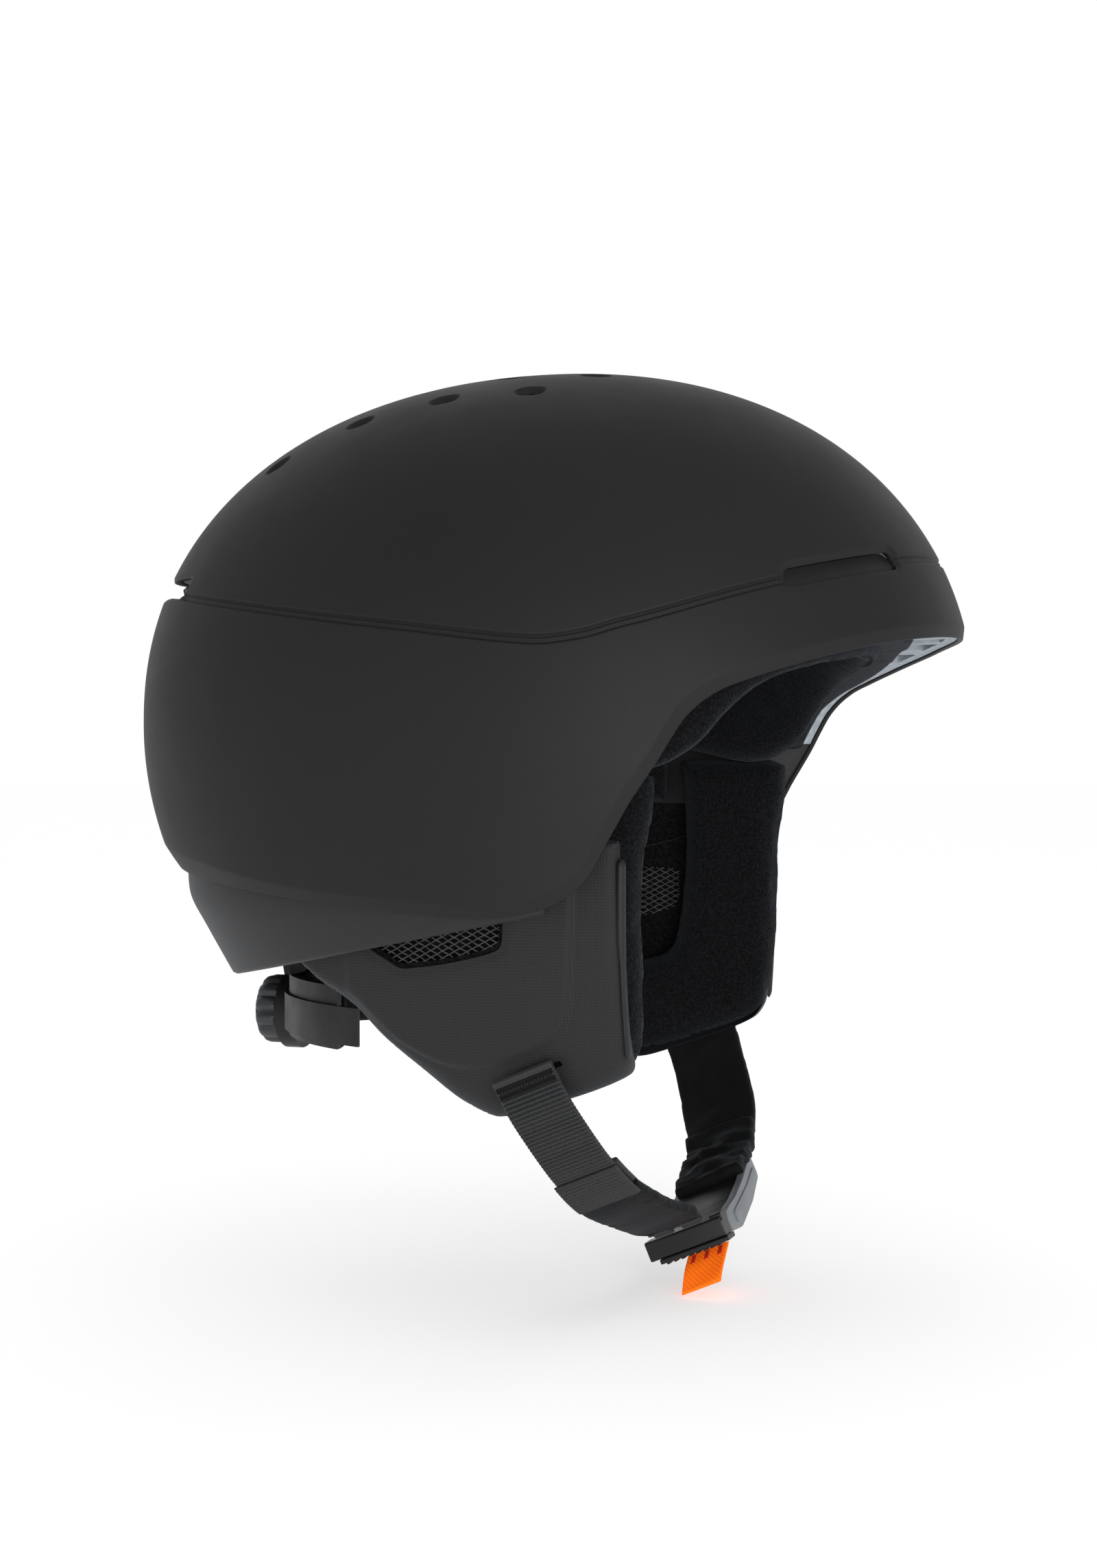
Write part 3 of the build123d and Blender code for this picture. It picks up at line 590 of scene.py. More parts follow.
def slot_place(P):
    """Along and across coordinates of the brow slot, in millimetres, on either side."""
    polar = np.degrees(np.arctan2(np.abs(P[:, 0]), -P[:, 1]))
    along = np.interp(polar, _polar, _arc) - (SLOT_ENDS[1] + SLOT_ENDS[0]) / 2
    across = (P[:, 2] - SLOT_MIDDLE(polar)) / SLOT_LEAN
    return along, across


def slot_distance(P):
    """Distance to the brow slots, negative inside them."""
    u, v = slot_place(P)
    far = np.where(P[:, 1] < -40, 0.0, 50.0)
    return rounded_box(u, v, (SLOT_ENDS[1] - SLOT_ENDS[0]) / 2, 3.2, 2.4) + far


def rear_slot_distance(P):
    """Distance to the long rear opening under the seam, negative inside it."""
    far = np.where(P[:, 1] > 40, 0.0, 80.0)
    return rounded_box(P[:, 0], (P[:, 2] - 44.1) / 0.93, 67.0, 3.0, 2.6) + far


def clip_distance(P, margin=2.0):
    """Distance to the goggle clip's outline plus a margin, negative inside it."""
    far = np.where(P[:, 1] > 40, 0.0, 80.0)
    return rounded_box(P[:, 0], P[:, 2] + 13, 10 + margin, 15 + margin, 2.0 + margin) + far


VENT_PITCH, VENT_RADIUS, VENT_STRAIGHT = 28.3, 2.7, 1.0
VENTS = []
for row_x, first_y in ((52.0, -2.4), (28.0, -15.9)):
    for side in (-1, 1):
        for step in range(4):
            VENTS.append((side * row_x, first_y + step * VENT_PITCH))


def vent_frames():
    """Each crown vent's middle on the shell, outward direction, and directions along and across."""
    XY = np.array(VENTS)
    start = np.column_stack([XY, np.zeros(len(XY))])
    P = cast(shell_field, start, np.tile([0.0, 0.0, 1.0], (len(XY), 1)), 140)
    N = unit(gradient(shell_field, P))
    U = unit(np.array([0.0, 1.0, 0.0]) - N * N[:, 1:2])
    return P, N, U, np.cross(N, U)


VENT_P, VENT_N, VENT_U, VENT_W = vent_frames()


def vent_distance(P):
    """Distance to the nearest crown vent, negative inside it."""
    best = np.full(len(P), 50.0)
    for c, n, u, w in zip(VENT_P, VENT_N, VENT_U, VENT_W):
        d = P - c
        along, across = np.abs(d @ u), d @ w
        here = np.hypot(np.maximum(along - VENT_STRAIGHT, 0), across) - VENT_RADIUS
        here = here + np.where(np.abs(d @ n) > 60, 50, 0)
        best = np.minimum(best, here)
    return best


# ---------------------------------------------------------------- shells


SHEET_LOW = -0.62


def shell_sheet():
    """Fine directions over the shell, kept fine near every edge and groove."""
    V, F = icosphere(6)
    V, F = compact(V, F[V[F][:, :, 2].max(1) > SHEET_LOW])
    for size in ((1.6, 0.8, 0.42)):
        P, N = place_on(shell_field, V)
        near = np.abs(along_surface(seam_value, P, N)) - 1.6
        for distance, reach in (
            (slot_distance, 2.4), (rear_slot_distance, 1.0), (vent_distance, 1.6), (clip_distance, 0.6),
        ):
            near = np.minimum(near, np.abs(distance(P)) - reach)
        rim = along_surface(rim_value, P, N)
        near = np.minimum(near, np.maximum(-rim, rim - 0.8))
        near = np.minimum(near, np.abs(rim - chamfer_width(P)) - 0.7)
        V, F = split_long(V, F, P, size, near < size * 0.9)
    return V, F


def chamfer_width(P):
    """Width of the chamfer above the shell's rim, wider towards the rear."""
    return 4.1 + 4.6 * smoothstep(P[:, 1], 50, 132)


def rear_opening(P):
    """Where the seam runs above the rear opening and there is no groove."""
    return (np.abs(P[:, 0]) < 68) & (P[:, 1] > 60)


def shell_dip(P, N):
    """How far the surface lies below the plain form: chamfer, seam groove, lips."""
    rim = along_surface(rim_value, P, N)
    tilt = 0.36 - 0.14 * smoothstep(P[:, 1], 50, 132)
    soft = 0.25
    x = chamfer_width(P) - rim
    dip = np.minimum(tilt * 0.5 * (x + np.sqrt(x * x + soft * soft)), 2.2)
    dip = dip + 1.8 * (1 - np.clip(vent_distance(P) / 1.7, 0, 1)) ** 1.2
    slot = slot_distance(P)
    upper = 0.2 + 0.8 * smoothstep(slot_place(P)[1], -3.6, -0.5)
    lip = 1.25 * upper * (1 - smoothstep(slot, -0.2, 2.7))
    seam = along_surface(seam_value, P, N)
    open_here = 1 - (1 - smoothstep(np.abs(P[:, 0]), 67, 70)) * (P[:, 1] > 60)
    groove = 0.85 * (1 - smoothstep(np.abs(seam), 0.85, 1.75))
    bead = 0.45 * np.exp(-(seam / 0.42) ** 2)
    groove = (groove - bead) * open_here * smoothstep(slot, -0.3, 2.0)
    lip = lip + 0.7 * (1 - smoothstep(rear_slot_distance(P), -0.2, 1.6))
    return dip + np.maximum(groove, 0) + lip


def make_shells():
    """Meshes of the upper shell, the lower shell and the strip that closes the seam between them."""
    sheet = shell_sheet()
    for value in (
        lambda P, N: along_surface(rim_value, P, N) - 0.35,
        lambda P, N: vent_distance(P),
        lambda P, N: slot_distance(P) - 0.3,
        lambda P, N: rear_slot_distance(P) - 0.3,
    ):
        sheet = cut_directions(*sheet, value)
    edge = 1.0
    upper = cut_directions(*sheet, lambda P, N: along_surface(seam_value, P, N) - edge)
    lower = cut_directions(*sheet, lambda P, N: -edge - along_surface(seam_value, P, N))
    strip = cut_directions(*sheet, lambda P, N: edge - np.abs(along_surface(seam_value, P, N)))
    strip = cut_directions(*strip, lambda P, N: np.where(rear_opening(P), -1.0, 1.0))
    lower = cut_directions(*lower, lambda P, N: clip_distance(P) - 0.3)
    result = []
    for (V, F), wall, rounding in ((upper, 3.0, 0.28), (lower, 3.0, 0.28), (strip, 2.2, 0.05)):
        P, N = place_on(shell_field, V)
        dip = shell_dip(P, N)
        Q = P - N * dip[:, None]
        depth = np.maximum(wall - np.minimum(dip, 1.8), 1.0)
        result.append(thicken(Q, vertex_normals(Q, F), F, depth, rounding))
    result[0] = joined(result[0], *vent_collars())
    return result


def vent_collars():
    """Short walls that carry each crown vent down towards the foam."""
    collars = []
    k = 48
    turn = np.linspace(0, 2 * np.pi, k, endpoint=False)
    cx = np.cos(turn)
    cy = np.sin(turn)
    i = np.arange(k)
    j = (i + 1) % k
    for c, n, u, w in zip(VENT_P, VENT_N, VENT_U, VENT_W):
        rings = []
        quads = []
        for r, (radius, depth) in enumerate(((2.5, 2.4), (2.5, 12.0), (3.3, 12.0), (3.3, 2.4))):
            along = radius * cx + np.sign(cx) * VENT_STRAIGHT
            rings.append(c + along[:, None] * u + (radius * cy)[:, None] * w - depth * n)
            s = (r + 1) % 4
            quads.append(np.stack([r * k + i, s * k + i, s * k + j, r * k + j], 1))
        collars.append((np.vstack(rings), np.zeros((0, 3), int), np.concatenate(quads)))
    return collars


upper, lower, strip = make_shells()
upper_shell = build("upper_shell_cover", *upper)
lower_shell = build("lower_shell_cover", *lower)
seam_piece = build("seam_bead", *strip)

# ---------------------------------------------------------------- materials


class Shader:
    """Small helper that wires a Principled surface out of procedural textures."""

    def __init__(self, name, color, roughness, metallic=0.0, sheen=0.0, specular=0.5):
        self.material = bpy.data.materials.new(name)
        self.material.use_nodes = True
        self.tree = self.material.node_tree
        self.base = self.tree.nodes["Principled BSDF"]
        self.color = color
        self.set(Base_Color=(*color, 1), Roughness=roughness, Metallic=metallic, Specular_IOR_Level=specular)
        if sheen:
            self.set(Sheen_Weight=sheen, Sheen_Roughness=0.45, Sheen_Tint=(0.75, 0.85, 1.0, 1))
        self.coords = self.tree.nodes.new("ShaderNodeTexCoord").outputs["Object"]
        self.height = None

    def set(self, **values):
        feed(self.tree, self.base, **values)

    def node(self, kind, **inputs):
        return feed(self.tree, self.tree.nodes.new(kind), **inputs)

    def noise(self, scale, detail=3.0):
        made = self.node("ShaderNodeTexNoise", Vector=self.coords, Scale=scale, Detail=detail, Roughness=0.6)
        return made.outputs["Fac"]

    def cells(self, scale):
        return self.node("ShaderNodeTexVoronoi", Vector=self.coords, Scale=scale).outputs["Distance"]

    def weave(self, pitch):
        """Over-and-under threads, pitch in metres, from two crossed wave patterns."""
        made = self.tree.nodes.new("ShaderNodeMath")
        made.operation = "MULTIPLY"
        scale = 0.314159 / pitch
        for k, axis in enumerate("YZ"):
            wave = self.node("ShaderNodeTexWave", Vector=self.coords, Scale=scale, Distortion=0.3, Detail=1.0)
            wave.bands_direction = axis
            self.tree.links.new(wave.outputs["Fac"], made.inputs[k])
        return made.outputs[0]

    def bump(self, height, strength, distance):
        """Adds relief from a texture on top of any relief already there."""
        made = self.node("ShaderNodeBump", Height=height, Strength=strength, Distance=distance)
        if self.height is not None:
            feed(self.tree, made, Normal=self.height)
        self.height = made.outputs["Normal"]
        self.set(Normal=self.height)
        return self

    def tint(self, factor, low, high, low_at=0.3, high_at=0.7):
        """Base colour that varies with a texture, from low to high times the plain colour."""
        ramp = self.node("ShaderNodeValToRGB", Fac=factor)
        ends = ramp.color_ramp.elements
        for end, position, times in zip(ends, (low_at, high_at), (low, high)):
            end.position = position
            end.color = (*[min(1.0, c * times) for c in self.color], 1)
        self.set(Base_Color=ramp.outputs["Color"])
        return self

    def gloss(self, factor, low, high):
        """Roughness that varies with a texture."""
        spread = self.node("ShaderNodeMapRange", Value=factor, From_Min=0.3, From_Max=0.7)
        feed(self.tree, spread, To_Min=low, To_Max=high)
        self.set(Roughness=spread.outputs["Result"])
        return self


def make_materials():
    """One procedural finish for each material slot, and two more for stitches."""
    made = {}

    def add(slot, *args, **kwargs):
        made[slot] = Shader(slot, *args, **kwargs)
        return made[slot]

    s = add("shell_black", (0.0115, 0.0117, 0.012), 0.58, specular=0.2)
    s.gloss(s.noise(38, 4), 0.55, 0.62).tint(s.noise(9, 2), 0.92, 1.08)
    s.bump(s.noise(2600, 2), 0.05, 0.0002)
    s = add("trim_black", (0.006, 0.006, 0.0064), 0.5, specular=0.3)
    s.gloss(s.noise(60), 0.42, 0.58).tint(s.noise(25), 0.85, 1.15)
    s.bump(s.noise(1500), 0.12, 0.0002)
    s = add("liner_grey", (0.33, 0.37, 0.41), 0.72)
    s.tint(s.cells(420), 1.1, 0.8, 0.1, 0.75)
    s.bump(s.cells(420), 0.25, 0.0006)
    s = add("plush_black", (0.0035, 0.0037, 0.0042), 0.95, sheen=0.07, specular=0.12)
    s.tint(s.noise(1300, 4), 0.3, 2.6, 0.4, 0.65).bump(s.noise(1300, 4), 0.8, 0.0008)
    s = add("woven_black", (0.0165, 0.0168, 0.0175), 0.72, specular=0.3, sheen=0.05)
    threads = s.weave(0.0009)
    s.tint(threads, 0.72, 1.18, 0.1, 0.8).bump(threads, 0.3, 0.0003)
    s = add("panel_black", (0.0125, 0.0128, 0.0135), 0.62, specular=0.38, sheen=0.04)
    threads = s.weave(0.0007)
    s.tint(threads, 0.8, 1.12, 0.1, 0.8).bump(threads, 0.2, 0.0002)
    s = add("mesh_black", (0.045, 0.046, 0.048), 0.5, specular=0.4)
    s.tint(s.noise(700), 0.7, 1.2).bump(s.noise(2000), 0.3, 0.0002)
    s = add("edge_grey", (0.012, 0.013, 0.015), 0.6, specular=0.3)
    s.tint(s.noise(300), 0.85, 1.1).bump(s.weave(0.0008), 0.2, 0.0002)
    s = add("hook_tape", (0.004, 0.004, 0.0042), 0.9, specular=0.1)
    s.tint(s.cells(900), 0.5, 1.6).bump(s.cells(900), 0.8, 0.0008)
    s = add("webbing_black", (0.017, 0.0175, 0.0185), 0.6, sheen=0.05, specular=0.4)
    s.tint(s.noise(1400, 3), 0.7, 1.25).bump(s.weave(0.0006), 0.4, 0.0003)
    s.bump(s.noise(1800), 0.2, 0.0002)
    s = add("sleeve_black", (0.0035, 0.0036, 0.0038), 0.75, sheen=0.04, specular=0.12)
    s.tint(s.noise(120, 4), 0.75, 1.3).bump(s.noise(1500, 3), 0.3, 0.0003)
    s = add("metal_bright", (0.72, 0.73, 0.75), 0.16, metallic=1.0)
    s.gloss(s.noise(200), 0.1, 0.22).tint(s.noise(40), 0.92, 1.05)
    s = add("buckle_black", (0.006, 0.006, 0.0065), 0.42, specular=0.35)
    s.gloss(s.noise(80), 0.36, 0.5).tint(s.noise(30), 0.85, 1.15).bump(s.noise(900), 0.06, 0.0002)
    s = add("arm_grey", (0.17, 0.185, 0.2), 0.42, specular=0.5)
    s.gloss(s.noise(60), 0.36, 0.5).tint(s.noise(50), 0.9, 1.08).bump(s.noise(1300), 0.05, 0.0002)
    s = add("knob_grey", (0.024, 0.026, 0.029), 0.45)
    s.gloss(s.noise(70), 0.38, 0.52).tint(s.noise(40), 0.88, 1.1).bump(s.noise(1300), 0.08, 0.0002)
    s = add("tab_orange", (1.0, 0.185, 0.004), 0.75, specular=0.2)
    turned = s.node("ShaderNodeMapping", Vector=s.coords, Rotation=(0.0, 0.6, 0.75)).outputs["Vector"]
    twill = s.node("ShaderNodeTexWave", Vector=turned, Scale=260.0, Distortion=0.6, Detail=1.0).outputs["Fac"]
    # Painted glow: the tab's cloth gives off faint orange light of its own, brightening it beyond what the
    # lamps light it to
    s.set(Emission_Color=(1.0, 0.12, 0.004, 1), Emission_Strength=0.3)
    s.tint(twill, 0.8, 1.0, 0.15, 0.6).bump(twill, 0.5, 0.0004)
    s = add("tack_red", (0.75, 0.03, 0.004), 0.7)
    s.tint(s.noise(2500), 0.7, 1.2).bump(s.noise(2500), 0.5, 0.0003)
    s = add("stitch_dark", (0.004, 0.004, 0.0042), 0.7, specular=0.15)
    s.tint(s.noise(3000), 0.7, 1.5).bump(s.noise(3000), 0.4, 0.0002)
    return {name: shader.material for name, shader in made.items()}


MATERIALS = make_materials()


CLOTH_FRAMES = 20


def point_places(mesh):
    """A mesh's points as an array."""
    places = np.empty(len(mesh.vertices) * 3)
    mesh.vertices.foreach_get("co", places)
    return places.reshape(-1, 3)


def settle(obj, slack=0.05, reach=1.2, grain=5.0, pressure=4.0):
    """Cloth simulation: a coarse copy of the cover swells under pressure, and its moves carry over.

    The slack is the share of cloth let out, reach the longest move and grain the coarse size,
    both in millimetres."""
    scene = bpy.context.scene
    coarse = obj.copy()
    coarse.data = obj.data.copy()
    scene.collection.objects.link(coarse)
    remesh = coarse.modifiers.new("remesh", "REMESH")
    remesh.mode = "VOXEL"
    remesh.voxel_size = grain * MM
    remeshed = coarse.evaluated_get(bpy.context.evaluated_depsgraph_get())
    plain = bpy.data.meshes.new_from_object(remeshed)
    coarse.modifiers.clear()
    coarse.data = plain
    start = point_places(plain)
    shaken = start + np.random.default_rng(11).normal(0, 0.15 * MM, start.shape)
    plain.vertices.foreach_set("co", shaken.ravel())
    cloth = coarse.modifiers.new("cloth", "CLOTH")
    cloth.settings.quality = 5
    cloth.settings.mass = 0.2
    cloth.settings.use_pressure = True
    cloth.settings.uniform_pressure_force = pressure
    cloth.settings.shrink_min = -slack
    cloth.settings.effector_weights.gravity = 0.0
    cloth.point_cache.frame_start = 1
    cloth.point_cache.frame_end = CLOTH_FRAMES
    for number in range(1, CLOTH_FRAMES + 1):
        scene.frame_set(number)
    shown = coarse.evaluated_get(bpy.context.evaluated_depsgraph_get()).data
    moved = point_places(shown) - start
    scene.frame_set(1)
    bpy.data.objects.remove(coarse)
    moved = np.nan_to_num(moved - moved.mean(0))
    far = np.linalg.norm(moved, axis=1)
    limit = reach * MM
    moved *= (limit * np.tanh(far / limit) / np.maximum(far, 1e-9))[:, None]
    tree = KDTree(len(start))
    for k, place in enumerate(start):
        tree.insert(place, k)
    tree.balance()
    shift = []
    for vertex in obj.data.vertices:
        near = tree.find_n(vertex.co, 5)
        weights = np.array([1.0 / (distance + 1e-4) ** 2 for _, _, distance in near])
        shift.append((moved[[k for _, k, _ in near]] * weights[:, None]).sum(0) / weights.sum())
    obj.data.vertices.foreach_set("co", (point_places(obj.data) + np.array(shift)).ravel())
    obj.data.update()


def finish_piece(obj, body, slot, nodes=(), look=None):
    """Gives a piece its finish (the look's material if one is named, else the slot's), the body it rides on,
    and hides the CAD nodes it stands for.
    """
    obj.data.materials.append(MATERIALS[look or slot])
    if body:
        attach(obj, body)
    if nodes:
        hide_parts(*nodes)
    return obj


finish_piece(upper_shell, "helmet", "shell_black", ["upper_shell"])
finish_piece(lower_shell, "helmet", "shell_black", ["lower_shell"])
finish_piece(seam_piece, "helmet", "shell_black", ["seam_strip"])

# ---------------------------------------------------------------- trays, insert, foam


def surface_patch(value, depth, sizes):
    """Part of the shell's surface where value(P) > 0, lowered by depth(P)."""
    V, F = icosphere(6)
    P, N = place_on(shell_field, V)
    V, F = compact(V, F[value(P)[F].max(1) > -6])
    for size in sizes:
        P, N = place_on(shell_field, V)
        V, F = split_long(V, F, P, size, np.ones(len(P), bool))
    V, F = cut_directions(V, F, lambda P, N: value(P))
    P, N = place_on(shell_field, V)
    Q = P - N * depth(P)[:, None]
    return Q, vertex_normals(Q, F), F


def make_trays():
    """Floors of the two brow slots, and the ribbed grille in the rear opening."""
    def tray_outline(P):
        return np.where(P[:, 0] > 0, 0.5 - slot_distance(P), -9)

    def tray_depth(P):
        return 1.7 + 1.3 * smoothstep(slot_place(P)[1], -2.6, 3.0)

    mesh = thicken(*surface_patch(tray_outline, tray_depth, (1.6, 0.9)), 1.2, 0.1)
    for name, m in (("left", mesh), ("right", mirrored(*mesh))):
        tray = build("brow_vent_floor_" + name, *m)
        finish_piece(tray, "helmet", "trim_black", ["brow_vent_tray_" + name], "shell_black")

    def insert_depth(P):
        rib = 0.5 + 0.5 * np.cos(P[:, 0] * 2 * np.pi / 11.0)
        level = 0.5 + 0.5 * np.cos((P[:, 2] - 41.5) * 2 * np.pi / 3.2)
        return 4.2 + 2.2 * smoothstep(rib, 0.25, 0.75) + 1.0 * level

    patch = surface_patch(lambda P: 1.4 - rear_slot_distance(P), insert_depth, (1.6, 0.9))
    insert = build("rear_vent_grille", *thicken(*patch, 1.6, 0.1))
    finish_piece(insert, "helmet", "trim_black", ["rear_vent_insert"])


make_trays()


def inner_target(P):
    """What the way in from the shell heads for: level at the brim, radial at the crown."""
    z = P[:, 2]
    level = np.where(z < 40, np.minimum(0.75 * z, 30), 30 * np.exp(-((z - 40) / 38) ** 2))
    return np.column_stack([np.zeros(len(P)), np.full(len(P), 5.0), level])


def to_cavity(P):
    """The cavity's surface along the way inwards from each place on the shell."""
    target = inner_target(P)
    way = P - target
    far = np.linalg.norm(way, axis=1)
    return cast(cavity_field, target, way / far[:, None], 220)


LINER_LOW = -30.0
LINER_ABOVE_RIM = 1.2
LINER_DEPTH = 3.06


def liner_value(P, N):
    """Positive where there is foam: above the shell's rim and above the foam's lower edge."""
    rim = along_surface(rim_value, P, N) - LINER_ABOVE_RIM
    low = P[:, 2] - LINER_LOW
    return np.minimum(rim, low)


def pocket_depth(P):
    """How far the brim's underside is hollowed upwards: four pockets over the forehead."""
    x = np.abs(P[:, 0])
    front = smoothstep(-P[:, 1], 60, 75)
    first = smoothstep(6.5 - np.abs(x - 27), 0, 1.2)
    second = smoothstep(7.5 - np.abs(x - 48), 0, 1.2)
    third = smoothstep(5.0 - np.abs(x - 66), 0, 1.2)
    return 13.0 * front * np.maximum(np.maximum(first, second), third)


def make_liner():
    """The foam between shell and cavity, with black tape over its sides."""
    V, F = icosphere(6)
    V, F = compact(V, F[V[F][:, :, 2].max(1) > -0.45])
    P, N = place_on(shell_field, V)
    near = np.minimum(np.abs(liner_value(P, N)) - 2.0, np.abs(vent_distance(P)) - 1.5)
    V, F = split_long(V, F, P, 1.3, near < 1)
    for value in (
        liner_value,
        lambda P, N: vent_distance(P) - 0.7,
        lambda P, N: rear_slot_distance(P) - 1.8,
        lambda P, N: slot_distance(P) - 0.9,
        lambda P, N: clip_distance(P) - 0.4,
    ):
        V, F = cut_directions(V, F, value)
    P, N = place_on(shell_field, V)
    outer = P - N * LINER_DEPTH
    inner = to_cavity(P)
    up = np.zeros_like(P)
    at_rim = (liner_value(P, N) < 0.5) & (P[:, 2] > 8)
    up[:, 2] = np.where(at_rim, pocket_depth(P), 0)
    rows = []
    for t, lift in ((0.04, 0), (0.16, 0), (0.18, 1.0), (0.5, 1.0), (0.80, 1.0), (0.82, 0), (0.96, 0)):
        rows.append(outer * (1 - t) + inner * t + up * lift)
    foam = build("foam_body", *closed(outer, F, inner, rows), smooth=28)
    finish_piece(foam, "helmet", "liner_grey", ["foam_liner"])
    foam.data.materials.append(MATERIALS["trim_black"])
    taped = [int(p.center.z < -0.007) for p in foam.data.polygons]
    foam.data.polygons.foreach_set("material_index", taped)


make_liner()


def tube_mesh(rings):
    """Quads through a run of rings, with fans at its ends."""
    k = len(rings[0])
    i = np.arange(k)
    j = (i + 1) % k
    last = (len(rings) - 1) * k
    quads = [np.stack([r + i, r + j, r + k + j, r + k + i], 1) for r in range(0, last, k)]
    V = np.vstack([*rings, rings[0].mean(0), rings[-1].mean(0)])
    a, b = len(V) - 2, len(V) - 1
    tris = np.concatenate([
        np.stack([np.full(k, a), j, i], 1),
        np.stack([np.full(k, b), last + i, last + j], 1),
    ])
    return V, tris, np.concatenate(quads)


def fixed_winding(mesh):
    """Turns the faces outwards, judged by the enclosed volume."""
    V, tris, quads = mesh
    T = np.concatenate([tris, quads[:, :3], quads[:, [0, 2, 3]]]) if len(quads) else tris
    volume = np.einsum("ij,ij->i", V[T[:, 0]], np.cross(V[T[:, 1]], V[T[:, 2]])).sum()
    return (V, tris[:, ::-1], quads[:, ::-1]) if volume < 0 else mesh


# ---------------------------------------------------------------- pads on the foam


def pad_patch(value, height, radius):
    """A crowned pad on the cavity wall where value(P) > 0, millimetres from its outline."""
    V, F = icosphere(6)
    P, N = place_on(cavity_field, V)
    V, F = compact(V, F[value(P)[F].max(1) > -8])
    for limit, reach in ((2.2, math.inf), (1.2, 4.0)):
        P, N = place_on(cavity_field, V)
        V, F = split_long(V, F, P, limit, np.abs(value(P)) < reach)
    V, F = cut_directions(V, F, lambda P, N: value(P), cavity_field)
    P, N = place_on(cavity_field, V)
    t = np.clip(np.maximum(value(P), 0) / radius, 0, 1)
    crown = np.sqrt(1 - (1 - t) ** 2)
    base = P - N * 1.3
    middle = height * 0.4
    front = base - N * (middle + (height - middle) * crown)[:, None]
    rear = base - N * (middle - middle * crown)[:, None]
    return closed(front, F[:, ::-1], rear)


def in_side_view(polygon, half):
    """Distance inside a side-view outline, on the left half (1) or the right half (-1)."""
    def value(P):
        d = polygon_distance(P[:, 1:3], polygon)
        return np.where(P[:, 0] * half > 0, d, -np.abs(P[:, 0]) - 1)

    return value


# Soft pads, the body each names and, for the ear cushions, two points across the fold; pads given fold points
# are not attached to any body.
PAD_JOBS = []


def brow_roll():
    """The brow pad's lower edge, which wraps under the foam almost to the shell's rim."""
    turn = np.linspace(-1.9, 1.9, 220)
    low, high = np.full(len(turn), -0.6), np.full(len(turn), 0.7)

    def place(tilt):
        level = np.cos(tilt)
        way = np.column_stack([np.sin(turn) * level, -np.cos(turn) * level, np.sin(tilt)])
        P, N = place_on(shell_field, way)
        return P, N, along_surface(rim_value, P, N) - LINER_ABOVE_RIM

    for _ in range(18):
        middle = 0.5 * (low + high)
        _, _, value = place(middle)
        low, high = np.where(value < 0, middle, low), np.where(value < 0, high, middle)
    P, N, _ = place(high)
    kept = P[:, 2] > -9
    P, N, turn = P[kept], N[kept], turn[kept]
    outer = P - N * LINER_DEPTH
    inner = to_cavity(P)
    first = 0.13 + 0.49 * (1 - smoothstep(np.abs(turn), 0.3, 0.85))
    rings = []
    along = np.linspace(0, 1, 15)
    drop = 2.2 * np.sqrt(np.maximum(1 - (2 * along - 1) ** 4, 0))
    for a, b, t0 in zip(outer, inner, first):
        t = t0 + (1.18 - t0) * along
        line = a + t[:, None] * (b - a)
        under = line + np.outer(drop, [0, 0, -1.0])
        over = line[::-1] + np.outer(0.6 * drop, [0, 0, 1.0])
        rings.append(np.vstack([under, over[1:-1]]))
    return fixed_winding(tube_mesh(rings))


def make_pads():
    """The plush pads that line the cavity: brow, crown, both sides and nape."""
    jobs = []
    brow_top = Curve([(-130, 50), (-100, 49), (-60, 45), (-30, 25), (-12, 6)])
    brow_low = Curve([
        (-130, 24.5), (-103, 23.5), (-90, 19), (-78, 12.5), (-70, 4.5), (-62, -5), (-57, -8.6), (-12, -8.6),
    ])

    def brow(P):
        y, z = P[:, 1], P[:, 2]
        d = np.minimum((brow_top(y) - z) * 0.8, z - brow_low(y))
        slope = 1 + 0.55 * smoothstep(y, -95, -75) * (1 - smoothstep(y, -62, -56))
        d = np.minimum(d, (z - brow_low(y)) / slope)
        return np.minimum(d, -11.5 - y)

    jobs.append(("brow_pad", "brow_cushion", brow, 8.6, 7.0))

    def crown(P):
        return -rounded_box(P[:, 0], P[:, 1], 32, 59, 16) + np.where(P[:, 2] > 20, 0, -99)

    jobs.append(("crown_pad", "crown_cushion", crown, 7.0, 6.0))
    side = smooth_loop([(-8, -27), (46, -27), (50, 44), (-8, 34)], 3.0, True, (0, 1, 2, 3))
    for half, name in ((1, "left"), (-1, "right")):
        jobs.append(("side_pad_" + name, "side_cushion_" + name, in_side_view(side, half), 7.0, 5.0))

    def nape(P):
        return -rounded_box(P[:, 0], P[:, 2] - 8, 47, 21, 9) + np.where(P[:, 1] > 50, 0, -99)

    jobs.append(("nape_pad", "nape_cushion", nape, 7.0, 6.0))
    for node, name, value, height, radius in jobs:
        mesh = pad_patch(value, height, radius)
        if node == "brow_pad":
            mesh = joined(mesh, brow_roll())
        pad = build(name, *mesh, smooth=0)
        settle(pad)
        finish_piece(pad, None, "plush_black", [node])
        PAD_JOBS.append((pad, "helmet", None))


make_pads()

# ---------------------------------------------------------------- ear pads

FOLD_PLACE = Vector((0.0, -0.018, -0.0562))
FOLD_NORMAL = Vector((0.0, 0.20832, 0.97806))
FACE_X, BOW_RADIUS, BOW_MIDDLE_Y, DRAW_TOP_Z = 98.6, 210.0, -18.0, -58.0


def bow(y):
    """How far the ear pad curves inwards ahead of its middle and behind it."""
    return BOW_RADIUS - np.sqrt(BOW_RADIUS ** 2 - (y - BOW_MIDDLE_Y) ** 2)


def draw_in(z):
    """How far the ear pad leans inwards towards its lower end."""
    depth = np.maximum(0, DRAW_TOP_Z - z)
    return 0.06 * depth + 0.003 * depth ** 2


def ear_face(y, z):
    """X of the ear pad's outer face on the left side."""
    return FACE_X - draw_in(z) - bow(y)


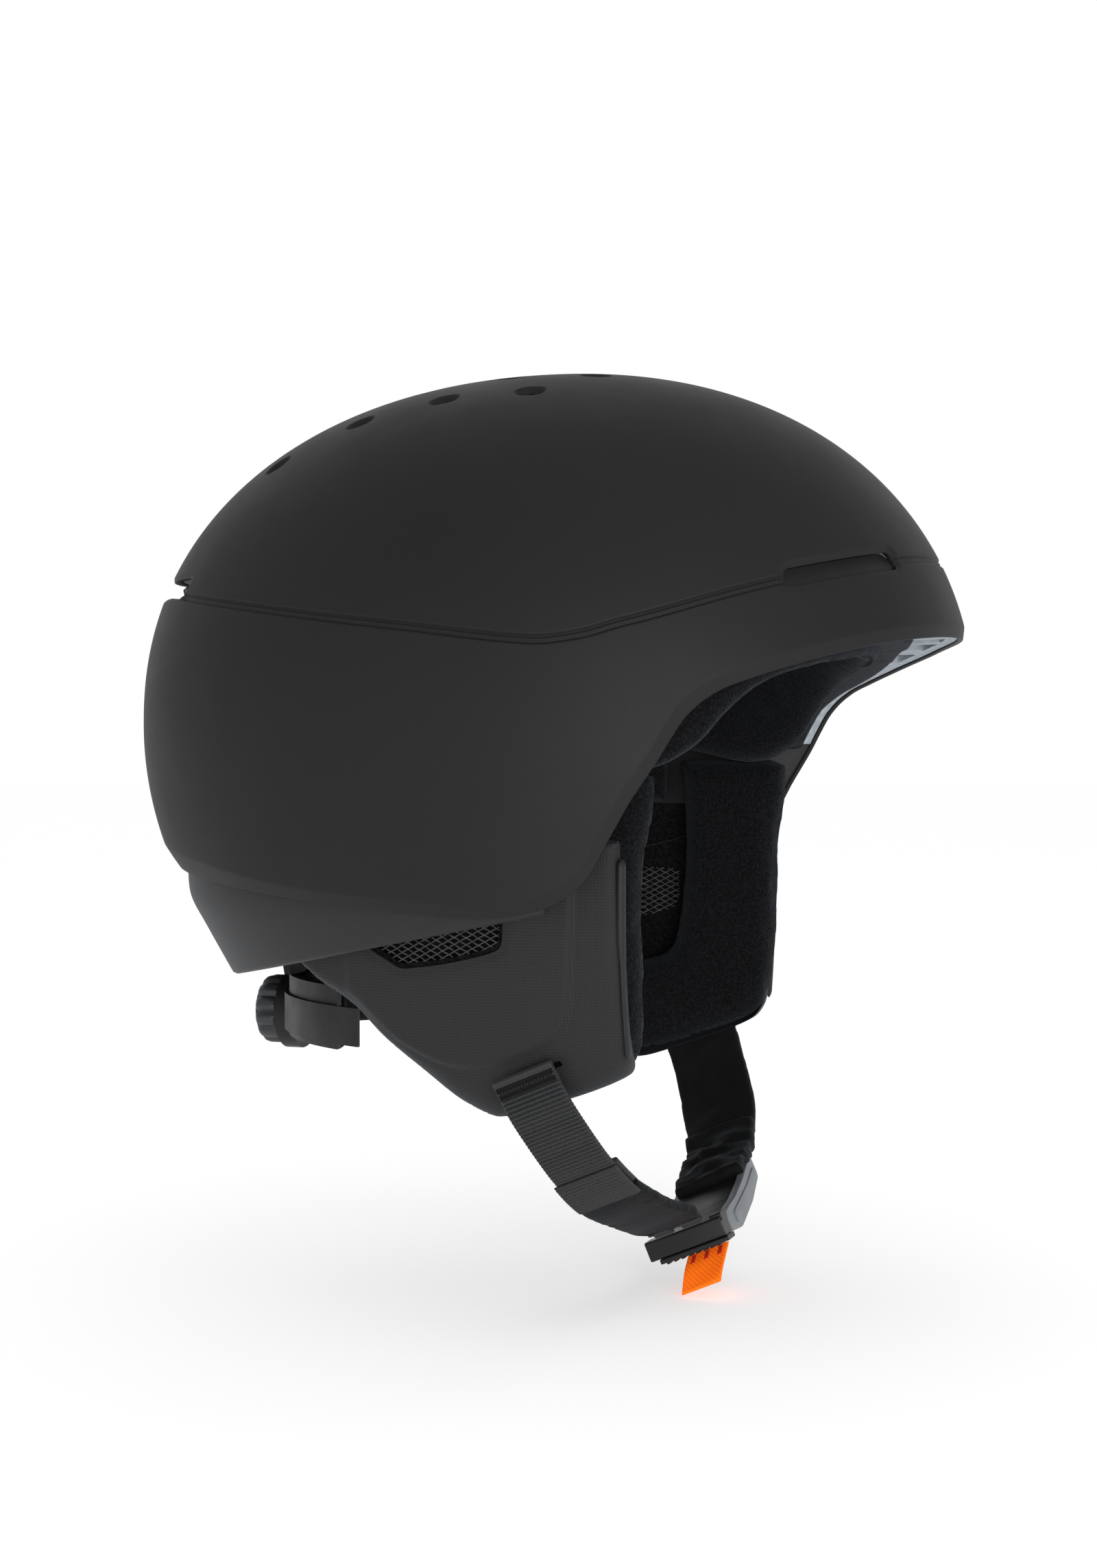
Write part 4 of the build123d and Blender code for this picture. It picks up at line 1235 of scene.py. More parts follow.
def faced_left(P, F):
    """Faces wound so that a left-side sheet looks to the left."""
    return F[:, ::-1] if vertex_normals(P, F)[:, 0].mean() < 0 else F


COVER_LINE = smooth_loop([
    (-43.4, -33), (-44.1, -55), (-44.5, -67), (-44.6, -82), (-44.6, -95), (-44.0, -99.4),
    (-41.6, -103), (-32.7, -107.4), (-19, -112.4), (-6.1, -116.8), (-0.7, -117.7), (2.3, -117.2),
    (10, -113.6), (15.7, -109.8), (25.5, -102.1), (35, -94.3), (39.4, -90.3), (43.5, -86.3),
    (50, -82.2), (56.5, -78.8), (63, -73.8), (66, -70), (66, -60), (63, -52), (40, -46), (8, -45),
    (-20, -38), (-36, -33),
], 1.2, True, (0, 20, 22))
WINDOW_LINE = smooth_loop([
    (-9.2, -53), (-9.3, -61), (-8.2, -64.6), (-4.4, -66.5), (9.3, -69.9), (20, -71.6), (25.2, -72),
    (28.6, -70.4), (36.5, -66.3), (42, -62.5), (40, -56), (20, -52),
], 0.8, True, (0, 9, 11))
PANEL_LINE = smooth_loop([
    (-30.5, -46), (-30, -62), (-28.4, -80), (-25.6, -88.6), (-19, -93.6), (-8, -98.6), (1.5, -101.1),
    (10, -101.2), (19, -98.6), (28, -94.2),
], 1.0, False)


SLIT = np.array([-15.2, -102.6])
SLIT_LEAN = math.radians(23)


def slit_distance(V):
    """Distance outside the slit that the webbing comes out of."""
    along = np.array([math.cos(SLIT_LEAN), -math.sin(SLIT_LEAN)])
    across = np.array([-along[1], along[0]])
    return rounded_box((V - SLIT) @ along, (V - SLIT) @ across, 10.6, 1.0, 0.9)


def cover_sheet():
    """The ear cover's flat outline, with openings for the hearing window and the slit."""
    V, F = sheet_grid(COVER_LINE.min(0) - 2, COVER_LINE.max(0) + 2, 1.5)
    near = np.abs(line_distance(V, PANEL_LINE)) < 2.2
    near |= np.abs(polygon_distance(V, WINDOW_LINE)) < 2.0
    near |= np.abs(polygon_distance(V, COVER_LINE)) < 2.5
    V, F = refine(V, F, lambda e: near[e].any(1))
    V, F = clip(V, F, polygon_distance(V, COVER_LINE))
    V, F = clip(V, F, -polygon_distance(V, WINDOW_LINE))
    return clip(V, F, slit_distance(V))


def make_ear_cover():
    """The left ear pad's outer skin: rolled edges, stitched panel, dipped window and slit."""
    V, F = cover_sheet()
    y, z = V.T
    d = np.maximum(polygon_distance(V, COVER_LINE), 0)
    radius = 2.2 + 6.0 * smoothstep(-z, 92, 106) + 4.0 * smoothstep(y, 20, 40) * smoothstep(-z, 70, 84)
    roll = radius - np.sqrt(np.maximum(radius ** 2 - np.maximum(radius - d, 0) ** 2, 0))
    step = 0.35 * smoothstep(-y, 40.8, 42.2) * (z < -34)
    panel = polygon_distance(V, np.vstack([PANEL_LINE, [(45, -80), (45, -40)]]))
    raised = smoothstep(panel, -1.1, 1.1)
    puff = 1.5 * raised * smoothstep(z, -112, -100) + 0.25 * np.sin(y * 0.11) * np.sin(z * 0.09)
    dip = 0.55 * (1 - smoothstep(-polygon_distance(V, WINDOW_LINE), 0.0, 3.0))
    dip = dip + 0.5 * (1 - smoothstep(slit_distance(V), 0.0, 2.4))
    x = ear_face(y, z) - roll - step - 1.5 + puff - dip
    P = np.column_stack([x, y, z])
    back_x = np.minimum(ear_face(y, z) - 5.0, x - 1.2)
    tucked = (4.0 + 3.5 * smoothstep(radius, 3, 8)) * 0.5
    back = np.column_stack([np.where(d < 0.05, back_x - tucked, back_x), y, z])
    return closed(P, faced_left(P, F), back, [P * 0.5 + back * 0.5])


def make_ear_pads():
    """Both ear pads: cover, cushion, front edge, net and felt."""
    pieces = (
        ("ear_pad_cover_", make_ear_cover(), "woven_black", ("ear_cover_", "ear_tab_"), None),
        ("ear_pad_cushion_", cushion_mesh(), "plush_black", ("ear_cushion_", "temple_pad_"), None),
        ("ear_pad_edge_", edge_strip_mesh(), "edge_grey", ("ear_edge_strip_",), None),
        ("hearing_mesh_", window_mesh(), "mesh_black", ("ear_mesh_",), None),
        ("hearing_felt_", window_felt(), "mesh_black", (), "hook_tape"),
    )
    start = FOLD_PLACE + FOLD_NORMAL * 0.006
    end = FOLD_PLACE - FOLD_NORMAL * 0.010
    for name in ("left", "right"):
        for piece, mesh, slot, nodes, look in pieces:
            sided = mesh if name == "left" else mirrored(*mesh)
            if piece == "ear_pad_cushion_":
                pad = build(piece + name, *sided, smooth=0)
                settle(pad)
                finish_piece(pad, None, slot, [node + name for node in nodes])
                PAD_JOBS.append((pad, "ear_" + name, (start, end)))
                continue
            obj = build(piece + name, *sided, smooth=50)
            finish_piece(obj, None, slot, [node + name for node in nodes], look)
            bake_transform(obj)


CUSHION_LINE = smooth_loop([
    (-51.2, -15.6), (-50.8, -26.5), (-48.8, -40), (-48.1, -59.5), (-46.8, -84), (-45.4, -94), (-41, -100.4),
    (-33, -104.6), (-20, -109.2), (-8, -113), (2, -114.2), (10, -110.4), (25, -97.5), (40, -84), (42, -78),
    (42, -18), (38, -13.6), (-46, -13.6),
], 1.6, True, (0, 16, 17))
EAR_HOLE_LINE = smooth_loop([
    (-14.7, -8), (-14.5, -30), (-13.5, -50.4), (-10.4, -76), (-6, -81.5), (2, -83.6), (14, -81.5),
    (26, -70), (28, -50), (28, -8),
], 1.6, True, (0, 9))


def cushion_mesh():
    """The plush ring round the ear on the left side: crowned towards the head."""
    V, F = sheet_grid(CUSHION_LINE.min(0) - 2, CUSHION_LINE.max(0) + 2, 2.0)

    def outline(V):
        return np.minimum(polygon_distance(V, CUSHION_LINE), -polygon_distance(V, EAR_HOLE_LINE))

    near = np.abs(outline(V)) < 4.0
    V, F = refine(V, F, lambda e: near[e].any(1))
    V, F = clip(V, F, polygon_distance(V, CUSHION_LINE))
    V, F = clip(V, F, -polygon_distance(V, EAR_HOLE_LINE))
    y, z = V.T
    t = np.clip(np.maximum(outline(V), 0) / 8.5, 0, 1)
    crown = np.sqrt(1 - (1 - t) ** 2)
    above = smoothstep(z, -40, -14)
    outer = ear_face(y, z) - 6.0 - 3.5 * above
    inner = FACE_X - 0.75 * draw_in(z) - 20.3 - bow(y) * 0.5 - 2.0 * above
    middle = outer * 0.62 + inner * 0.38
    face = middle + (inner - middle) * crown
    back = middle + (outer - middle) * np.minimum(crown * 1.15, 1)
    P = np.column_stack([back, y, z])
    return closed(P, faced_left(P, F), np.column_stack([face, y, z]))


def edge_strip_mesh():
    """Piping along the front edge of the ear pad, wide above and narrow below."""
    z = np.linspace(-38, -97, 60)
    width = 2.6 - 0.9 * smoothstep(-z, 62, 70)
    centre_y = -44.4 - 0.2 * smoothstep(-z, 62, 70)
    turn = np.linspace(0, 2 * np.pi, 14, endpoint=False)
    rings = []
    for zi, w, cy in zip(z, width, centre_y):
        end = min(1.0, (zi + 97.5) / 2.0 + 0.05, (-37.5 - zi) / 2.0 + 0.05)
        x = ear_face(np.array(cy), np.array(zi)) - 3.2 + 2.1 * np.cos(turn) * end
        y = cy + 0.5 * w * np.sin(turn) * end
        rings.append(np.column_stack([x, y, np.full_like(x, zi)]))
    return tube_mesh(rings)


def strand(path, radius, sides=6):
    """A thin round strand along points."""
    path = np.asarray(path, float)
    ways = unit(np.gradient(path, axis=0))
    up = np.array([1.0, 0.1, 0.05])
    turn = np.linspace(0, 2 * np.pi, sides, endpoint=False)
    rings = []
    for p, w in zip(path, ways):
        a = np.cross(w, up)
        a /= np.linalg.norm(a)
        b = np.cross(w, a)
        rings.append(p + radius * (np.cos(turn)[:, None] * a + np.sin(turn)[:, None] * b))
    return tube_mesh(rings)


NET_PITCH, NET_STEP = 1.85, 0.45


def net_strands(depth, outline):
    """Open net: two families of crossing strands at a depth below the ear pad's face."""
    parts = []
    low, high = WINDOW_LINE.min(0) - 1, WINDOW_LINE.max(0) + 1
    centre = (low + high) / 2
    reach = np.linalg.norm(high - low) / 2
    for family, angle in enumerate((math.radians(28), math.radians(152))):
        way = np.array([math.cos(angle), math.sin(angle)])
        across = np.array([-way[1], way[0]])
        for k in np.arange(-reach, reach, NET_PITCH):
            run = np.arange(-reach, reach, NET_STEP)
            Q = centre + k * across + run[:, None] * way
            inside = outline(Q)
            if inside.sum() < 4:
                continue
            Q = Q[inside]
            wave = 0.26 * np.sin(run[inside] * np.pi / 2.05 + family * np.pi)
            x = ear_face(Q[:, 0], Q[:, 1]) - depth + wave
            parts.append(strand(np.column_stack([x, Q]), 0.21))
    return parts


def window_mesh():
    """Net on both faces of the hearing window."""
    def within(Q):
        return (polygon_distance(Q, WINDOW_LINE) > -1) & (polygon_distance(Q, EAR_HOLE_LINE) > 0.4)

    outside = net_strands(2.4, lambda Q: polygon_distance(Q, WINDOW_LINE) > -0.9)
    return joined(*outside, *net_strands(6.75, within))


def flat_piece(V, F, depth, wall):
    """A thin piece along the left ear pad's face, at a depth below it."""
    P = np.column_stack([ear_face(*V.T) - depth, V])
    return closed(P, faced_left(P, F), P - np.array([wall, 0, 0]))


def window_felt():
    """Dark felt between the nets, closing the pad behind the ear, and the window's plain border."""
    V, F = sheet_grid(EAR_HOLE_LINE.min(0) - 16, EAR_HOLE_LINE.max(0) + 18, 2.0)
    reach = np.maximum(polygon_distance(V, EAR_HOLE_LINE) + 5.0, polygon_distance(V, WINDOW_LINE) + 1.8)
    V, F = clip(V, F, reach)
    felt = flat_piece(V, F, 5.35 + 3.0 * smoothstep(V[:, 1], -40, -14), 0.9)
    V, F = sheet_grid(WINDOW_LINE.min(0) - 3, WINDOW_LINE.max(0) + 3, 1.0)
    V, F = clip(V, F, polygon_distance(V, WINDOW_LINE) + 1.0)
    V, F = clip(V, F, 1.5 - polygon_distance(V, WINDOW_LINE))
    return joined(felt, flat_piece(V, F, 1.75, 0.7))


make_ear_pads()

# ---------------------------------------------------------------- neck panel

# Height, half width and reach to the rear at levels down the panel.
PANEL_LEVELS = (
    (-92, 90, 108), (-76, 96.4, 118.4), (-66, 100, 124.6), (-56, 102.4, 130.2), (-47, 103.2, 131),
    (-30, 103.2, 131),
)
PANEL_WIDTH = Curve([(z, w) for z, w, _ in PANEL_LEVELS])
PANEL_REAR = Curve([(z, r) for z, _, r in PANEL_LEVELS])


def panel_edge(y):
    """Height of the neck panel's lower edge, straight in side view."""
    return -56.8 - 0.2155 * (y + 11.5)


def make_neck_panel():
    """The soft panel round the nape: one skin, thickened, with a rolled lower edge."""
    columns, levels = 260, 44
    sweep, top = 1.75, -33.0
    turn = np.linspace(-0.5 * np.pi - sweep, -0.5 * np.pi + sweep, columns)
    a, v = np.meshgrid(-turn, np.linspace(0, 1, levels), indexing="ij")
    y = np.full_like(a, 60.0)
    for _ in range(8):
        z = panel_edge(y) + v * (top - panel_edge(y))
        reach = np.where(np.sin(a) > 0, PANEL_REAR(z), 130.0)
        y = reach * np.sin(a)
    x = PANEL_WIDTH(z) * np.cos(a)
    P = np.stack([x, y, z], -1).reshape(-1, 3)
    q = grid_quads(columns, levels)
    F = np.concatenate([q[:, :3], q[:, [0, 2, 3]]])
    N = vertex_normals(P, F)
    if (N[:, :2] * P[:, :2]).sum() < 0:
        F = F[:, ::-1]
        N = -N
    above = np.clip((P[:, 2] - panel_edge(P[:, 1])) / 1.6, 0, 1)
    dip = 0.9 * (1 - np.sqrt(np.clip(1 - (1 - above) ** 2, 0, 1)))
    quilt = 0.25 * np.sin(P[:, 2] * 0.12) * np.sin(a.reshape(-1) * 7)
    P = P + N * (quilt - dip - 0.1)[:, None]
    rows = [P - N * 1.0 + np.array([0, 0, -0.25]), P - N * 2.6 + np.array([0, 0, -0.1])]
    mesh = closed(P, F, P - N * 3.6 + np.array([0.0, 0.0, 0.6]), rows)
    panel = build("neck_roll", *mesh, smooth=50)
    finish_piece(panel, "helmet", "woven_black", ["neck_panel"], "panel_black")


make_neck_panel()

# ---------------------------------------------------------------- chin strap and buckle

# The strap lies in a plane that leans back; ACROSS is its normal and UP its upward direction.
LEAN = math.radians(23.0)
OFFSET = -27.0
ACROSS = np.array([0.0, -math.cos(LEAN), math.sin(LEAN)])
UP = np.array([0.0, math.sin(LEAN), math.cos(LEAN)])
ORIGIN = -OFFSET * np.array([0.0, math.cos(LEAN), -math.sin(LEAN)])


def strap_space(Q):
    """Strap-plane coordinates (x, y, across) to the helmet's frame."""
    Q = np.asarray(Q, float)
    return ORIGIN + Q[:, :1] * np.array([1.0, 0, 0]) + Q[:, 1:2] * UP + Q[:, 2:3] * ACROSS


def path_length(line):
    """Distance along a line at each of its points."""
    return np.concatenate([[0], np.cumsum(np.linalg.norm(np.diff(line, axis=0), axis=1))])


def on_strap(points, side, run, across, lift):
    """Places on a strap's face: run along it, across it, and lifted off its middle."""
    line = smooth_loop(points, 0.4, False)
    line = line[np.append(True, np.linalg.norm(np.diff(line, axis=0), axis=1) > 1e-6)]
    length = path_length(line)
    way = unit(np.gradient(line, axis=0))
    x, y, wx, wy = (np.interp(run, length, part) for part in (*line.T, *way.T))
    return strap_space(np.column_stack([side * (x - wy * lift), y + wx * lift, across]))


def strap_mesh(
    points, width, wall, side, rib=None, step=0.45, swell=None, flare=None, wrinkle=None, plain=0.0,
):
    """A flat strap along a smooth line: rounded edges, optional ribs, swelling and wrinkles.

    The ribs have a pitch and a depth, and start after the plain length."""
    line = smooth_loop(points, step, False)
    length = path_length(line)
    total = length[-1]
    count = int(total / step) + 2
    run = np.linspace(0, total, count)
    line = np.column_stack([np.interp(run, length, line[:, k]) for k in (0, 1)])
    way = unit(np.gradient(line, axis=0))
    normal = np.column_stack([-way[:, 1], way[:, 0]])
    half, thick = width / 2, wall / 2
    edge = min(thick, 0.9)
    flat = np.linspace(-half + edge, half - edge, 19)
    arc = np.radians(np.linspace(-90, 90, 7)[1:-1])
    loop = [(a, 1.0) for a in flat]
    loop += [(half - edge + edge * math.cos(b), math.sin(-b)) for b in arc]
    loop += [(a, -1.0) for a in flat[::-1]]
    loop += [(-half + edge - edge * math.cos(b), math.sin(b)) for b in arc]
    across, face = np.array(loop).T
    rings = []
    for s, p, n in zip(run, line, normal):
        at = s / total
        lift = face * thick
        if rib and s > plain:
            lift = face * (thick - rib[1] * (0.5 - 0.5 * math.cos(2 * math.pi * s / rib[0])) ** 1.5)
        if swell is not None:
            lift = lift * (1 + swell * (1 - (across / half) ** 2))
        if wrinkle is not None:
            lift = lift + wrinkle(at, across / half)
        lift = lift * min(1.0, 0.35 + min(s, total - s) / 0.7)
        centre = p + lift[:, None] * n
        wide = 1.0 if flare is None else flare(at)
        rings.append(np.column_stack([side * centre[:, 0], centre[:, 1], across * wide]))
    V, tris, quads = tube_mesh(rings)
    return fixed_winding((strap_space(V), tris, quads))


def prism(name, outline, low, high, bevel, segments=3):
    """A bevelled plate: an outline in the strap's plane, from low to high across it."""
    mesh = bpy.data.meshes.new(name)
    made = bmesh.new()
    bottom = [made.verts.new((x, y, low)) for x, y in outline]
    face = made.faces.new(bottom)
    extruded = bmesh.ops.extrude_face_region(made, geom=[face])
    for v in extruded["geom"]:
        if isinstance(v, bmesh.types.BMVert):
            v.co.z = high
    bmesh.ops.recalc_face_normals(made, faces=made.faces)
    bmesh.ops.bevel(
        made, geom=list(made.edges), offset=bevel, segments=segments, profile=0.5, affect="EDGES",
        clamp_overlap=True,
    )
    bmesh.ops.triangulate(made, faces=[f for f in made.faces if len(f.verts) > 4])
    made.verts.index_update()
    V = np.array([v.co for v in made.verts], float)
    tris, quads = (
        np.array([[v.index for v in f.verts] for f in made.faces if len(f.verts) == n], int).reshape(-1, n)
        for n in (3, 4)
    )
    made.free()
    bpy.data.meshes.remove(mesh)
    return fixed_winding((strap_space(V), tris, quads))


def rounded(points, radius, steps=4):
    """An outline whose corners are cut round."""
    P = np.array(points, float)
    out = []
    for i in range(len(P)):
        a, b, c = P[i - 1], P[i], P[(i + 1) % len(P)]
        ab, cb = a - b, c - b
        cut = min(radius, 0.45 * np.linalg.norm(ab), 0.45 * np.linalg.norm(cb))
        start, end = b + ab / np.linalg.norm(ab) * cut, b + cb / np.linalg.norm(cb) * cut
        for t in np.linspace(0, 1, steps):
            out.append((1 - t) ** 2 * start + 2 * t * (1 - t) * b + t * t * end)
    return [tuple(p) for p in out]


RIB_PITCH = 1.38


def make_right_strap():
    """The right strap: ribbed webbing with bar stitches, its fold, the sleeve and the buckle's loops."""
    web = [
        (93.2, -98.2), (92.2, -101.8), (90.4, -109.5), (84.6, -120), (78.3, -129.3), (74, -134.2),
        (71.5, -136.8),
    ]
    mesh = strap_mesh(web, 20.0, 2.2, -1, rib=(RIB_PITCH, 0.7), step=0.17, plain=5.5)
    obj = build("chin_webbing_right", *mesh, smooth=60)
    finish_piece(obj, "strap_right", "webbing_black", ["strap_web_right"])
    across = np.linspace(-9.4, 9.4, 260)
    rows = []
    for shift in (0.0, 0.5):
        run = 4.1 + 1.15 * np.sin(across * 2 * np.pi / 1.9 + shift * 2 * np.pi)
        rows.append(fixed_winding(strand(on_strap(web, -1, run, across, 1.15), 0.24)))
    for run in (2.5, 5.6):
        line = on_strap(web, -1, np.full(len(across), run), across, 1.1)
        rows.append(fixed_winding(strand(line, 0.42)))
    obj = build("chin_bar_stitch_right", *joined(*rows), smooth=60)
    finish_piece(obj, "strap_right", "webbing_black", (), "stitch_dark")
    outer = [(75.6, -134.4), (71.4, -138.7), (66.8, -142.4), (63.4, -144.6)]
    inner = [(73.2, -132.8), (68.6, -137.0), (64.6, -140.2), (62.6, -141.8)]
    top = strap_mesh(outer, 21.2, 2.0, -1, rib=(RIB_PITCH, 0.65), step=0.17)
    under = strap_mesh(inner, 21.6, 2.4, -1)
    obj = build("chin_fold_right", *joined(top, under), smooth=60)
    finish_piece(obj, "strap_right", "sleeve_black", ["strap_fold_right"], "webbing_black")

    def crease(at, a):
        return 0.16 * np.sin(at * 13 + a * 1.4) * (1 - a * a) * np.sin(at * 3.14)

    def flare(at):
        return 1.0 - 0.16 * smoothstep(at, 0.86, 1.0) + 0.02 * np.sin(at * 9)

    path = [(64.9, -141.5), (58, -145.3), (51, -148.6), (37, -154), (26, -157.6), (16, -160.8)]
    sleeve = strap_mesh(path, 22.0, 3.0, -1, swell=0.30, wrinkle=crease, flare=flare)
    obj = build("chin_sleeve_right", *sleeve, smooth=0)
    settle(obj, 0.02, 0.25, 2.0, 2.0)
    finish_piece(obj, "strap_right", "sleeve_black", ["strap_sleeve_right"])
    upper_ring = [(19.0, -160.2), (15.5, -160.0), (13.0, -161.0), (11.2, -163.2)]
    lower_ring = [(19.0, -162.2), (15.5, -162.2), (12.2, -163.9)]
    loops = []
    for low in (-8.5, 1.5):
        for ring in (upper_ring, lower_ring):
            V, tris, quads = strap_mesh(ring, 7.0, 1.2, -1, rib=(1.1, 0.35), step=0.2)
            loops.append((V + ACROSS * (low + 3.5), tris, quads))
    obj = build("buckle_loops", *joined(*loops), smooth=60)
    finish_piece(obj, "strap_right", "webbing_black", ["strap_loops_right"])


def make_left_strap():
    """The left strap: the soft chin pad, its crumpled fold and the webbing into the buckle."""
    def crease(at, a):
        return 0.3 * np.sin(at * 14 + a * 1.1) * (1 - a * a) + 0.12 * np.sin(at * 37 + a * 4) * (1 - a * a)

    def flare(at):
        return 1.0 - 0.05 * smoothstep(at, 0.8, 1.0) + 0.015 * np.sin(at * 11)

    pad = [(93.6, -98.5), (93.4, -102.6), (91.8, -110.5), (86.4, -124), (77.8, -137), (67.4, -147.2)]
    mesh = strap_mesh(pad, 26.5, 3.4, 1, swell=0.35, wrinkle=crease, flare=flare)
    obj = build("chin_pad_left", *mesh, smooth=0)
    settle(obj, 0.03, 0.4, 2.4, 2.0)
    finish_piece(obj, "strap_left", "sleeve_black", ["strap_pad_left"])

    def folds(at, a):
        return 0.55 * np.sin(at * 15 + a * 2.2) * (1 - 0.5 * a * a) + 0.25 * np.sin(at * 31 - a * 3.5)

    def swing(at):
        return 1.0 + 0.06 * np.sin(at * 3.1)

    fold = [(71.5, -143.6), (67.2, -146.6), (61, -149.4), (52, -152.0), (42, -154.2), (33, -156.6)]
    mesh = strap_mesh(fold, 25.5, 4.4, 1, swell=0.2, wrinkle=folds, flare=swing)
    obj = build("chin_fold_left", *mesh, smooth=0)
    settle(obj, 0.1, 0.9, 2.0, 2.0)
    finish_piece(obj, "strap_left", "sleeve_black", ["strap_fold_left"])
    web = [(58.5, -152.3), (56.2, -153.3), (53.2, -154.6), (50.2, -155.9), (46.4, -157.6)]
    mesh = strap_mesh(web, 20.0, 2.0, 1, rib=(RIB_PITCH, 0.4), step=0.17)
    obj = build("chin_webbing_left", *mesh, smooth=60)
    finish_piece(obj, "strap_left", "webbing_black", ["strap_web_left"])


BUCKLE_HALF = 13.5
GRIP_RIBS, GRIP_PITCH, GRIP_WIDTH = 8, 2.6, 1.2


def make_buckle():
    """The buckle: bar and grip on the right strap, receiver and side arm on the left strap."""
    half = BUCKLE_HALF
    bar = rounded([(-11, -164.4), (-11, -171), (-2.7, -171), (-2.7, -164.4)], 0.9)
    hook = rounded([(-10.2, -163.4), (-10.2, -166), (-3.6, -166), (-3.6, -163.4)], 0.6)
    parts = [prism("bar", bar, -half, half, 0.35), prism("hook", hook, half - 3.4, half + 0.6, 0.3)]
    obj = build("buckle_bar_body", *joined(*parts), smooth=40)
    finish_piece(obj, "strap_right", "buckle_black", ["buckle_bar"])
    lip = rounded([(-11.2, -171.05), (-11.2, -172.7), (-2.9, -172.7), (-2.9, -171.05)], 0.6)
    parts = [prism("lip", lip, -10.5, half + 0.4, 0.35)]
    rib = [(-10.6, -172.5), (-10.6, -173.3), (-3.6, -173.3), (-3.6, -172.5)]
    for step in range(GRIP_RIBS):
        across = -8.8 + step * GRIP_PITCH
        parts.append(prism("rib", rib, across, across + GRIP_WIDTH, 0.25, segments=2))
    obj = build("buckle_grip_ribs", *joined(*parts), smooth=40)
    finish_piece(obj, "strap_right", "buckle_black", ["buckle_grip"])
    receiver = rounded([
        (-2.3, -170.8), (9, -171.4), (30, -166.6), (46.8, -160.8), (46.8, -155.2), (36, -157.4),
        (14, -163.2), (4, -164.8), (-2.3, -164.8),
    ], 1.2)
    body = prism("receiver", receiver, -half, half - 3.0, 0.5)
    obj = build("buckle_receiver_body", *body, smooth=40)
    finish_piece(obj, "strap_left", "buckle_black", ["buckle_receiver"])
    arm = rounded([
        (-2.3, -171.2), (10, -172), (31, -167.2), (47.4, -161.4), (47.4, -154.4), (41, -155.4),
        (30, -158.8), (14, -162.4), (4, -163.6), (-2.3, -164.6),
    ], 1.6)
    ridge = rounded([
        (6, -170.0), (30, -165.2), (44.5, -160.2), (44.5, -157.4), (30, -161.4), (6, -166.0),
    ], 1.2)
    parts = [
        prism("arm", arm, half - 2.98, half, 0.7),
        prism("ridge", ridge, half - 0.4, half + 0.5, 0.4),
    ]
    obj = build("buckle_arm_body", *joined(*parts), smooth=40)
    finish_piece(obj, "strap_left", "arm_grey", ["buckle_arm"])


def lathe(profile, centre, axis, steps, lobes=0, lobe_depth=0.0, deep=(0, 0)):
    """A turned form along an axis: profile of (radius, distance), with optional finger grooves.

    The grooves cut inwards only between the two distances named deep."""
    axis = np.array(axis, float)
    axis /= np.linalg.norm(axis)
    a = np.cross(axis, [1.0, 0.0, 0.0] if abs(axis[0]) < 0.9 else [0.0, 1.0, 0.0])
    a /= np.linalg.norm(a)
    b = np.cross(axis, a)
    turn = np.linspace(0, 2 * np.pi, steps, endpoint=False)
    round_way = np.cos(turn)[:, None] * a + np.sin(turn)[:, None] * b
    rings = []
    for radius, along in profile:
        r = np.full(steps, radius, float)
        if lobes and deep[0] <= along <= deep[1]:
            r = r - lobe_depth * (0.5 + 0.5 * np.cos(turn * lobes)) ** 3
        rings.append(np.array(centre) + along * axis + r[:, None] * round_way)
    return fixed_winding(tube_mesh(rings))


def make_stud():
    """The bright rivet cap on the buckle's underside."""
    centre, ahead = strap_space([[39.4, -163.5, 0.0], [39.71, -164.451, 0.0]])
    way = ahead - centre
    profile = [
        (0.5, -0.6), (5.6, -0.5), (5.9, 0.2), (5.9, 1.0), (5.5, 1.5), (4.8, 1.75), (4.5, 1.6), (4.2, 1.35),
        (2.4, 1.5), (0.4, 1.55),
    ]
    obj = build("buckle_stud_cap", *lathe(profile, centre + way * 1.2, way, 72), smooth=40)
    finish_piece(obj, "strap_left", "metal_bright", ["buckle_stud"])


TAB_END_UP, TAB_SLANT = -183.6, 0.34


def make_tab():
    """The cloth pull tab under the buckle's grip, with three red zigzag stitches."""
    path = [(1.9, -173.9), (3.2, -174.9), (6.6, -177.3), (10, -180.2), (13.4, TAB_END_UP)]

    def leaned(V):
        """The tab is sewn in at a slant: its root lies further forward than its end."""
        up = (V - ORIGIN) @ UP
        return V + np.outer(TAB_SLANT * (up - TAB_END_UP), ACROSS)

    def curl(at, a):
        return 0.35 * np.sin(at * 2.6) * a * a + 0.18 * np.sin(at * 7 + a * 2)

    V, tris, quads = strap_mesh(
        path, 15.0, 1.3, -1, wrinkle=curl, flare=lambda at: 1.0 - 0.06 * at, step=0.3,
    )
    obj = build("pull_tab_cloth", leaned(V), tris, quads, smooth=60)
    finish_piece(obj, "pull_tab", "tab_orange", ["pull_tab"])
    parts = []
    for across in (-4.6, 0.2, 5.0):
        run = np.linspace(1.4, 4.8, 60)
        zigzag = across + 0.75 * np.sin(run * 14.0)
        line = leaned(on_strap(path, -1, run, zigzag, 0.75))
        parts.append(fixed_winding(strand(line, 0.26)))
    obj = build("pull_tab_tacks", *joined(*parts), smooth=60)
    finish_piece(obj, "pull_tab", "tab_orange", (), "tack_red")


make_right_strap()
make_left_strap()
make_buckle()
make_stud()
make_tab()

# ---------------------------------------------------------------- dial, cradle pad, goggle clip


CRADLE_Z, CRADLE_HALF = -92.75, 10.2
CRADLE_STEPS, CRADLE_TAPER = 90, 5


